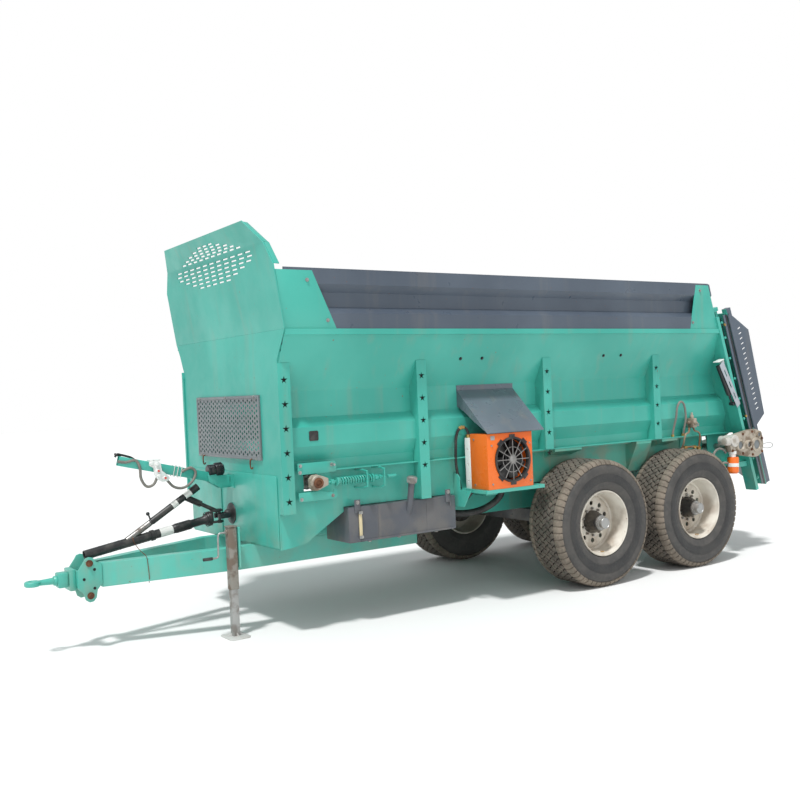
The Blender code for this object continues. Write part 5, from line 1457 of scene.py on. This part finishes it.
@dataclass
class Cooler:
    """The oil cooler with its fan, guard, shelf and slanting canopy."""

    shop: Workshop
    low: Triple = (-2.205, 1.005, 0.995)
    high: Triple = (-1.72, 1.238, 1.458)
    fan: Pair = (-1.985, 1.232)
    blades: int = 7
    spokes: int = 12

    def casing(self) -> Shape:
        """The orange casing, with its round pocket."""
        box = Shape().bar(self.low, self.high, 0.004)
        x, z = self.fan
        return box.carved(Shape().rod((x, 1.1525, z), (x, 1.26, z), 0.178, sides=64))

    def shroud(self) -> Shape:
        """The black ring round the fan, with its square tabs."""
        x, z = self.fan
        ring = Shape().lathe([(0.17, 0.0), (0.176, 0.0), (0.177, 0.03), (0.19, 0.031), (0.192, 0.0345),
                              (0.19, 0.042), (0.179, 0.044), (0.174, 0.042), (0.17, 0.03)],
                             (x, 1.208, z), (0, 1, 0), 64)
        for angle in (48, 90, 132, 228, 270, 312):
            tab = Shape().bar((-0.03, 1.2385, 0.176), (0.03, 1.245, 0.212), 0.003)
            tab.moved(Matrix.Translation((x, 0, z)) @ Matrix.Rotation(math.radians(90 - angle), 4, "Y"))
            ring.added(tab)
        return ring

    def guard(self) -> Shape:
        """The spokes and hub of the fan's guard."""
        x, z = self.fan
        spoke = Shape().bar((x - 0.0032, 1.2405, z + 0.03), (x + 0.0032, 1.247, z + 0.176), 0.001)
        spoke.copies(self.spokes, (x, 1.24, z), (0, 1, 0))
        return spoke.lathe([(0.0, 0.0), (0.036, 0.0), (0.036, 0.006), (0.03, 0.01), (0.022, 0.016),
                            (0.01, 0.0195), (0.0, 0.02)], (x, 1.2385, z), (0, 1, 0), 36)

    def rings(self) -> Shape:
        """Two thin rings of the guard."""
        x, z = self.fan
        shape = Shape()
        for radius in (0.04, 0.105):
            shape.lathe([(radius - 0.0025, 0.0), (radius + 0.0025, 0.0), (radius + 0.0025, 0.003),
                         (radius - 0.0025, 0.003)], (x, 1.2372, z), (0, 1, 0), 56)
        return shape

    def rotor(self) -> Shape:
        """The turning fan."""
        x, z = self.fan
        blade = Shape().plate([(0.04, -0.022), (0.08, -0.036), (0.12, -0.046), (0.158, -0.044), (0.163, 0.0),
                               (0.15, 0.034), (0.11, 0.03), (0.07, 0.024), (0.04, 0.018)], Plane.XZ, -0.002,
                               0.002)
        blade.moved(Matrix.Rotation(math.radians(27), 4, "X"))
        blade.moved(Matrix.Translation((x, 1.19, z)))
        blade.copies(self.blades, (x, 1.19, z), (0, 1, 0))
        return blade.lathe([(0.0, -0.022), (0.05, -0.022), (0.052, 0.014), (0.044, 0.022), (0.0, 0.024)],
                           (x, 1.19, z), (0, 1, 0), 36)

    def core(self) -> Shape:
        """The pale core frame with its window and mounting holes."""
        frame_part = Shape().bar((-2.205, 0.9305, 0.995), (-1.72, 1.0046, 1.425), 0.003)
        cut = Shape().bar((-2.15, 0.9, 1.05), (-1.775, 0.95, 1.375))
        for height in (1.06, 1.2, 1.33):
            cut.rod((-1.735, 0.968, height), (-1.7, 0.968, height), 0.009, sides=16)
        return frame_part.carved(cut)

    def build(self) -> None:
        """Makes the cooler's pieces."""
        settle = self.shop.settle
        settle("cooler_casing", self.casing(), ORANGE, replaces=("oil_cooler",))
        settle("cooler_core", self.core(), WHITE)
        fins = Shape().bar((-2.146, 0.936, 1.052), (-1.779, 0.9385, 1.0545)).row(46, (0.0, 0.0, 0.007))
        settle("cooler_fins", fins, GALVANISED)
        settle("fan_shroud", self.shroud(), BLACK_PLASTIC)
        settle("fan_guard", self.guard().added(self.rings()), GUARD_WIRE)
        settle("fan_rotor", self.rotor(), BLACK_PLASTIC, "cooler_fan", ("cooler_fan",))
        x, z = self.fan
        # The near-black disc and bars at the bottom of the fan pocket are painted shade.
        back = Shape().lathe([(0.0, 0.0), (0.1765, 0.0), (0.1765, 0.004), (0.0, 0.004)], (x, 1.1527, z),
                             (0, 1, 0), 48)
        wires = Shape().bar((x - 0.15, 1.157, z - 0.0015), (x + 0.15, 1.159, z + 0.0015))
        wires.copies(18, (x, 1.157, z), (0, 1, 0), math.pi)
        settle("fan_back_shade", back.added(wires), HOLE_SHADE)
        sticker = Shape().bar((-1.8, 1.2381, 1.405), (-1.757, 1.2392, 1.44), 0.0003)
        settle("cooler_plate", sticker, GALVANISED)
        screws = Shape()
        for height in (1.03, 1.41):
            screws.bolt((-1.72, 1.06, height), (1, 0, 0), 0.006)
        for across in (-2.175, -1.765):
            for height in (1.04, 1.36):
                screws.bolt((across, 1.238, height), (0, 1, 0), 0.006)
        settle("cooler_screws", screws, GALVANISED)
        self.shop.dress("cooler_canopy", CANOPY, 0.0015)
        self.shop.dress("cooler_shelf", TURQUOISE, 0.003)
        self.hoses()

    def hoses(self) -> None:
        """Makes the cooler's pressure hose and the two suction hoses."""
        settle = self.shop.settle
        line = smooth_route(((-1.735, 0.965, 1.426), (-1.733, 0.965, 1.47), (-1.715, 0.96, 1.505),
                             (-1.68, 0.95, 1.515), (-1.65, 0.94, 1.49), (-1.632, 0.932, 1.43),
                             (-1.626, 0.928, 1.33), (-1.624, 0.925, 1.24), (-1.64, 0.915, 1.15),
                             (-1.67, 0.9, 1.06), (-1.69, 0.886, 0.996)), 5)
        settle("cooler_hose", Shape().sweep(line, 0.012, 14), HOSE)
        fitting = Shape()
        for start, end in zip(line[12:18:2], line[14:20:2]):
            fitting.rod(tuple(start), tuple(end), 0.0165, 0.015, 6)
        fitting.rod((-1.735, 0.965, 1.4255), (-1.735, 0.965, 1.452), 0.019, sides=6)
        settle("cooler_fitting", fitting, BRASS)
        return_line = smooth_route(((-1.61, 0.72, 0.8), (-1.7, 0.745, 0.772), (-1.82, 0.775, 0.76),
                                    (-1.95, 0.81, 0.775), (-2.06, 0.84, 0.82), (-2.13, 0.86, 0.88),
                                    (-2.155, 0.89, 0.9645)), 5)
        second = smooth_route(((-1.6, 0.66, 0.82), (-1.69, 0.69, 0.84), (-1.76, 0.74, 0.85),
                               (-1.8, 0.79, 0.88), (-1.806, 0.89, 0.9645)), 5)
        settle("suction_hoses", Shape().sweep(return_line, 0.03, 18).sweep(second, 0.024, 16), HOSE)


# ---------------------------------------------------------------- rear gear
@dataclass
class RearHydraulics:
    """The gate's valve with its pipes, on the left sill."""

    shop: Workshop

    def build(self) -> None:
        """Makes the valve, its pipes and the free hose loop."""
        settle = self.shop.settle
        knots = ((-4.345, 0.912, 1.2655), (-4.348, 0.922, 1.33), (-4.362, 0.95, 1.45), (-4.385, 0.952, 1.56),
                 (-4.425, 0.954, 1.612), (-4.47, 0.956, 1.6), (-4.492, 0.958, 1.54), (-4.5, 0.958, 1.44),
                 (-4.502, 0.93, 1.34), (-4.504, 0.912, 1.266))
        lay_hose(self.shop, "rear_hose_run", "rear_hose", knots)
        mount = Shape().bar((-4.61, 0.88, 1.2635), (-4.525, 0.93, 1.345), 0.003)
        mount.bar((-4.64, 0.872, 1.2633), (-4.32, 0.9298, 1.2653))
        settle("valve_mount", mount, TURQUOISE)
        valve = Shape().bar((-4.635, 0.91, 1.3455), (-4.575, 0.985, 1.44), 0.006)
        valve.rod((-4.605, 0.948, 1.44), (-4.605, 0.948, 1.472), 0.019, 0.017, 20, 0.002)
        valve.rod((-4.605, 0.948, 1.472), (-4.605, 0.948, 1.498), 0.011, sides=6)
        valve.rod((-4.575, 0.948, 1.4), (-4.535, 0.948, 1.4), 0.016, sides=6, bevel=0.001)
        valve.rod((-4.605, 0.985, 1.392), (-4.605, 1.004, 1.392), 0.022, 0.019, 22, 0.002)
        valve.ball((-4.605, 1.004, 1.392), 0.014)
        settle("gate_valve", valve, CAST)
        lever = Shape().rod((-4.635, 0.948, 1.368), (-4.7, 0.95, 1.36), 0.007, sides=12)
        lever.rod((-4.7, 0.95, 1.352), (-4.7, 0.95, 1.385), 0.006, sides=12, bevel=0.001)
        settle("gate_valve_lever", lever, GALVANISED)
        self.pipes()

    def pipes(self) -> None:
        """Makes the valve's steel pipes and all the fittings."""
        settle = self.shop.settle
        pipes = Shape()
        pipes.sweep(smooth_route(((-4.555, 0.948, 1.345), (-4.54, 0.96, 1.31), (-4.505, 0.975, 1.298),
                                  (-4.465, 0.98, 1.285), (-4.448, 0.975, 1.24), (-4.446, 0.96, 1.18),
                                  (-4.45, 0.93, 1.14)), 4), 0.0095, 12)
        pipes.sweep(smooth_route(((-4.62, 0.948, 1.345), (-4.622, 0.965, 1.312), (-4.655, 0.975, 1.3),
                                  (-4.683, 0.976, 1.27), (-4.684, 0.97, 1.2), (-4.682, 0.955, 1.13)), 4),
                                  0.0095, 12)
        pipes.sweep(smooth_route(((-4.43, 0.945, 1.135), (-4.48, 0.955, 1.15), (-4.56, 0.955, 1.152),
                                  (-4.64, 0.952, 1.146), (-4.7, 0.945, 1.14)), 4), 0.0105, 12)
        settle("gate_pipes", pipes, RUSTY_PIPE)
        fittings = Shape()
        for place in ((-4.48, 0.955, 1.15), (-4.62, 0.953, 1.147), (-4.682, 0.957, 1.135)):
            fittings.rod((place[0] - 0.02, place[1], place[2]), (place[0] + 0.02, place[1], place[2]), 0.018,
                         sides=6, bevel=0.001)
        fittings.rod((-4.345, 0.912, 1.2655), (-4.3456, 0.9145, 1.29), 0.017, sides=6)
        fittings.rod((-4.504, 0.912, 1.266), (-4.5035, 0.918, 1.292), 0.017, sides=6)
        settle("gate_fittings", fittings, BRASS)


@dataclass
class ConveyorDrive:
    """The cast drive of the floor conveyor, with its motor and gearbox, at the rear left."""

    shop: Workshop
    shaft: Pair = (-5.06, 1.12)

    def casing(self) -> Shape:
        """The cast housing with its round bosses."""
        outline = [(-4.935, 1.08), (-4.905, 1.15), (-4.922, 1.225), (-5.0, 1.25), (-5.25, 1.288),
                   (-5.34, 1.29), (-5.4, 1.272), (-5.445, 1.222), (-5.458, 1.15), (-5.45, 1.08),
                   (-5.42, 1.03), (-5.36, 1.005), (-5.3, 1.0), (-5.18, 1.02), (-5.06, 1.042)]
        shape = Shape().plate(outline, Plane.XZ, 1.094, 1.168, 0.01)
        for station, height, radius, reach in ((-5.06, 1.14, 0.066, 0.022), (-5.19, 1.14, 0.048, 0.03),
                                               (-5.33, 1.13, 0.076, 0.014), (-5.37, 1.232, 0.04, 0.018)):
            shape.lathe([(radius * 0.62, 0.0), (radius, 0.0), (radius * 0.97, reach),
                         (radius * 0.7, reach + 0.004),
                         (radius * 0.62, reach - 0.004)], (station, 1.1675, height), (0, 1, 0), 36)
        return shape

    def build(self) -> None:
        """Makes the drive and the shaft under the floor."""
        settle = self.shop.settle
        x, z = self.shaft
        shaft = Shape().rod((x, -0.925, z), (x, 1.096, z), 0.032, sides=32)
        shaft.sprockets(x, z)
        settle("rear_conveyor_shaft", shaft, STEEL, replaces=("conveyor_rear_shaft",))
        settle("drive_casing", self.casing(), CAST)
        bores = Shape()
        for station, height, radius in ((-5.06, 1.14, 0.04), (-5.19, 1.14, 0.029), (-5.33, 1.13, 0.046),
                                        (-5.37, 1.232, 0.024)):
            bores.lathe([(0.0, 0.0), (radius, 0.0), (radius, 0.006), (radius * 0.5, 0.01), (0.0, 0.01)],
                        (station, 1.168, height), (0, 1, 0), 28)
        settle("drive_covers", bores, GREY_SCREEN)
        bolts = Shape()
        for station, height in ((-4.955, 1.215), (-5.12, 1.25), (-5.27, 1.268), (-5.432, 1.19),
                                (-5.425, 1.055),
                                (-5.27, 1.03), (-5.11, 1.052), (-4.95, 1.09), (-5.255, 1.085)):
            bolts.bolt((station, 1.168, height), (0, 1, 0), 0.01)
        settle("drive_bolts", bolts, RUST)
        self.motor()

    def motor(self) -> None:
        """Makes the motor, its gearbox and the hose and wire beside them."""
        settle = self.shop.settle
        motor = Shape().lathe([(0.0, 0.0), (0.056, 0.0), (0.062, 0.006), (0.062, 0.07), (0.058, 0.074),
                               (0.058, 0.12), (0.05, 0.126), (0.048, 0.186), (0.0, 0.19)],
                              (-4.965, 1.195, 1.19), (0, -1, 0), 44)
        motor.rod((-4.905, 1.15, 1.19), (-4.84, 1.15, 1.19), 0.046, 0.04, 32, 0.004)
        settle("drive_motor", motor, CAST_PALE)
        elbow = Shape().lathe([(0.0, 0.0), (0.04, 0.0), (0.04, 0.03), (0.034, 0.034), (0.034, 0.06),
                               (0.0, 0.06)], (-4.98, 1.14, 1.086), (0.05, 0, -1), 30)
        settle("drive_elbow", elbow, WHITE)
        box = Shape().lathe([(0.0, 0.0), (0.052, 0.0), (0.058, 0.01), (0.058, 0.15), (0.044, 0.168),
                             (0.0, 0.17)], (-4.985, 1.14, 1.024), (0.04, 0, -1), 36)
        settle("drive_gearbox", box, ORANGE)
        band = Shape().lathe([(0.056, 0.0), (0.0595, 0.0), (0.0595, 0.036), (0.056, 0.036)],
                             (-4.982, 1.14, 0.962), (0.04, 0, -1), 36)
        settle("gearbox_band", band, WHITE)
        ring = smooth_route(((-4.9, 1.12, 1.072), (-4.85, 1.12, 1.112), (-4.78, 1.118, 1.118),
                             (-4.722, 1.114, 1.078), (-4.716, 1.11, 1.01), (-4.752, 1.108, 0.962),
                             (-4.815, 1.112, 0.955), (-4.87, 1.116, 0.972), (-4.925, 1.122, 0.965)), 5)
        settle("drive_hose", Shape().sweep(ring, 0.0115, 12), HOSE_GREY)
        wire = smooth_route(((-5.455, 1.15, 1.12), (-5.51, 1.165, 1.135), (-5.575, 1.172, 1.13),
                             (-5.612, 1.168, 1.104), (-5.585, 1.16, 1.082), (-5.52, 1.158, 1.08),
                             (-5.458, 1.15, 1.092)), 5)
        settle("drive_wire", Shape().sweep(wire, 0.0035, 8), GALVANISED)


@dataclass
class RearUnit:
    """The leaning rear unit: columns, gate, upright beaters and the slotted side flaps."""

    shop: Workshop
    slot_count: int = 17

    def flap(self, side: Side) -> None:
        """Makes a side flap with its slots."""
        node = f"side_flap_{side.word}"
        body = self.shop.copy_of(node, Spot.REAR_UNIT)
        slots = Shape()
        for number in range(self.slot_count):
            height = 1.69 - 0.055 * number
            slots.plate([(-0.262, height - 0.004), (-0.264, height + 0.005), (-0.308, height + 0.013),
                         (-0.313, height + 0.009), (-0.311, height + 0.001), (-0.267, height - 0.007)],
                         Plane.XZ, side.value * 1.1 - 0.25, side.value * 1.1 + 0.25)
        self.shop.settle(f"{node}_panel", body.carved(slots), SLATE, node, (node,), Spot.REAR_UNIT)

    def column_zones(self, side: Side) -> None:
        """Gives a rear column its paints: teal channel, black cylinder and slate flap post."""
        node = f"rear_column_{side.word}"
        self.shop.dress(node, TURQUOISE, 0.003)
        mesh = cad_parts[node].data
        mesh.materials.append(self.shop.finish(SLATE))
        mesh.materials.append(self.shop.finish(BLACK_PAINT))
        back = self.shop.matrix(Spot.REAR_UNIT).inverted()
        for face in mesh.polygons:
            place = back @ face.center
            if place.x < -0.1795:
                face.material_index = 1
            elif math.hypot(place.x + 0.105, abs(place.y) - 1.001) < 0.0395 and 0.955 < place.z < 1.86:
                face.material_index = 2

    def fittings(self) -> None:
        """Makes the cylinder guard and the flap rams, then the posts."""
        settle = self.shop.settle
        guard = Shape().plate([(0.128, 1.42), (0.06, 1.452), (-0.052, 0.948), (0.01, 0.925)], Plane.XZ,
                              1.0935, 1.0975, 0.001)
        slots = Shape()
        for part in (0.24, 0.5, 0.76):
            w, s = -0.021 + 0.115 * part, 0.9365 + 0.4995 * part
            slots.plate([(w - 0.014, s - 0.034), (w - 0.002, s - 0.04), (w + 0.014, s + 0.034),
                         (w + 0.002, s + 0.04)], Plane.XZ, 1.05, 1.15)
        settle("cylinder_guard", guard.carved(slots), GREY_LIGHT, spot=Spot.REAR_UNIT)
        bracket = Shape().bar((0.04, 1.03, 1.456), (0.14, 1.0985, 1.466), 0.003)
        bracket.bar((0.04, 1.03, 1.42), (0.046, 1.09, 1.4555), 0.001)
        settle("guard_bracket", bracket, WHITE, spot=Spot.REAR_UNIT)
        ram = Shape().rod((0.103, 1.058, 1.415), (0.045, 1.058, 1.08), 0.027, sides=28, bevel=0.003)
        ram.rod((0.045, 1.058, 1.08), (0.03, 1.058, 0.985), 0.012, sides=20)
        ram.rod((0.03, 1.03, 0.975), (0.03, 1.086, 0.975), 0.019, sides=24, bevel=0.002)
        settle("flap_rams", ram.both_sides(), BLACK_PAINT, spot=Spot.REAR_UNIT)
        self.posts()

    def posts(self) -> None:
        """Makes the faces of the flap posts and the columns' bolts and pins."""
        settle = self.shop.settle
        posts = Shape().bar((-0.128, 1.0905, 0.03), (-0.098, 1.096, 1.885), 0.001)
        settle("hinge_post_faces", posts.both_sides(), SLATE, spot=Spot.REAR_UNIT)
        strips = Shape().bar((-0.156, 1.0905, 0.02), (-0.1285, 1.0985, 1.88), 0.001)
        settle("hinge_post_strips", strips.both_sides(), BLACK_PAINT, spot=Spot.REAR_UNIT)
        bolts = Shape()
        for s in (0.12, 0.34, 0.56, 0.78, 1.0, 1.22, 1.44, 1.66, 1.82):
            bolts.bolt((-0.06, 1.09, s), (0, 1, 0), 0.009)
        settle("column_bolts", bolts.both_sides(), TURQUOISE, spot=Spot.REAR_UNIT)
        brass = Shape()
        for s, w in ((1.79, -0.085), (0.8, -0.085)):
            brass.rod((w, 1.0915, s), (w, 1.11, s), 0.012, sides=20, bevel=0.002)
        settle("column_pins", brass.both_sides(), BRASS, spot=Spot.REAR_UNIT)

    def build(self) -> None:
        """Makes the rear unit's pieces."""
        for side in Side:
            self.flap(side)
            self.column_zones(side)
            self.shop.dress(f"beater_{side.word}", BEATER_PAINT, 0.002)
        self.fittings()
        self.shop.dress("rear_gate", TURQUOISE, 0.003)
        self.shop.dress("gear_beam", SLATE, 0.004)
        self.shop.dress("top_beam", TURQUOISE, 0.004)


# ---------------------------------------------------------------- frame under the box
@dataclass
class Underframe:
    """The chassis, axles, springs and the floor conveyor."""

    shop: Workshop
    link_pitch: float = 0.05

    def chains(self) -> Shape:
        """The conveyor's chain links."""
        link = Shape().bar((-0.42, -0.01, 1.2786), (-0.385, 0.01, 1.2846))
        link.row(89, (-self.link_pitch, 0.0, 0.0))
        shape = Shape()
        for offset in CHAIN_OFFSETS:
            shape.added_copy(link, Matrix.Translation((0.0, offset, 0.0)))
        link.bm.free()
        return shape

    def build(self) -> None:
        """Finishes the frame's chassis nodes and adds the chains."""
        for side in Side:
            for node in ("chassis_rail", "drawbar"):
                self.shop.dress(f"{node}_{side.word}", TURQUOISE_CHASSIS, 0.005)
            self.shop.dress(f"bogie_spring_{side.word}", BLACK_PAINT, 0.003)
        for place in ("front", "middle", "rear"):
            self.shop.dress(f"cross_member_{place}", TURQUOISE_CHASSIS, 0.004)
        for place in ("front", "rear"):
            self.shop.dress(f"axle_{place}", BLACK_PAINT, 0.004)
        sill = Shape().plate([(-4.6, 1.246), (-4.6, 1.06), (-4.86, 1.02), (-4.94, 1.1), (-4.94, 1.246)],
                             Plane.XZ, 0.782, 0.788, 0.001)
        self.shop.settle("rear_sills", sill.both_sides(), TURQUOISE)
        self.shop.dress("floor_conveyor", STEEL, 0.002)
        self.shop.settle("conveyor_chains", self.chains(), STEEL)


# ---------------------------------------------------------------- the view
def set_up_view(shift: float) -> None:
    """Adds the camera, the lights and the floor."""
    scene = bpy.context.scene
    lens = bpy.data.cameras.new("view")
    lens.lens, lens.sensor_width = 43.99, 36.0
    lens.shift_x, lens.shift_y = -0.0364, 0.0152
    camera = bpy.data.objects.new("view", lens)
    turn = Matrix(CAMERA_AXES).transposed().to_4x4()
    camera.matrix_world = Matrix.Translation(Vector(CAMERA_PLACE) + Vector((shift, 0.0, 0.0))) @ turn
    scene.collection.objects.link(camera)
    scene.camera = camera
    scene.view_settings.view_transform = "Standard"

    for name, energy, angle, toward in SUNS:
        light = bpy.data.lights.new(name, "SUN")
        light.energy, light.angle = energy, math.radians(angle)
        lamp = bpy.data.objects.new(name, light)
        lamp.matrix_world = (-Vector(toward)).to_track_quat("-Z", "Y").to_matrix().to_4x4()
        scene.collection.objects.link(lamp)
    world = bpy.data.worlds.new("soft_room")
    world.use_nodes = True
    tree = world.node_tree
    glow = tree.nodes["Background"]
    glow.inputs["Color"].default_value = (0.95, 0.98, 1.0, 1.0)
    glow.inputs["Strength"].default_value = 0.62
    paper = tree.nodes.new("ShaderNodeBackground")
    paper.inputs["Color"].default_value = (1.0, 1.0, 1.0, 1.0)
    rays = tree.nodes.new("ShaderNodeLightPath")
    choice = tree.nodes.new("ShaderNodeMixShader")
    tree.links.new(rays.outputs["Is Camera Ray"], choice.inputs["Fac"])
    tree.links.new(glow.outputs["Background"], choice.inputs[1])
    tree.links.new(paper.outputs["Background"], choice.inputs[2])
    tree.links.new(choice.outputs["Shader"], tree.nodes["World Output"].inputs["Surface"])
    scene.world = world

    graph = Graph("pale_floor")
    tone = graph.span(graph.noise(0.4, 2.0), 0.3, 0.7)
    graph.link(graph.mix(tone, (0.8, 0.8, 0.79), (0.83, 0.83, 0.82)), "Base Color")
    graph.set(Roughness=0.85)
    mesh = bpy.data.meshes.new("floor")
    floor_mesh = bmesh.new()
    bmesh.ops.create_grid(floor_mesh, x_segments=1, y_segments=1, size=60.0,
                          matrix=Matrix.Translation((0.0, 0.0, -0.0005)))
    floor_mesh.to_mesh(mesh)
    floor_mesh.free()
    mesh.materials.append(graph.material)
    floor = bpy.data.objects.new("floor", mesh)
    scene.collection.objects.link(floor)


def main() -> None:
    """Builds the whole finished machine."""
    logging.basicConfig(level=logging.INFO, format="%(message)s")
    shop = Workshop(shift=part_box("hopper_front_wall")[1].x)
    set_up_view(shop.shift)
    for axle, station in AXLE_STATIONS.items():
        for side in Side:
            Wheel(shop, axle, side, station).build()
    for assembly in (Hopper, Underframe, Hitch, DriveLine, HoseArm, Jack, ConveyorFront, OilTank, Cooler,
                     RearHydraulics, ConveyorDrive, RearUnit):
        assembly(shop).build()


if __name__ == "__main__":
    main()
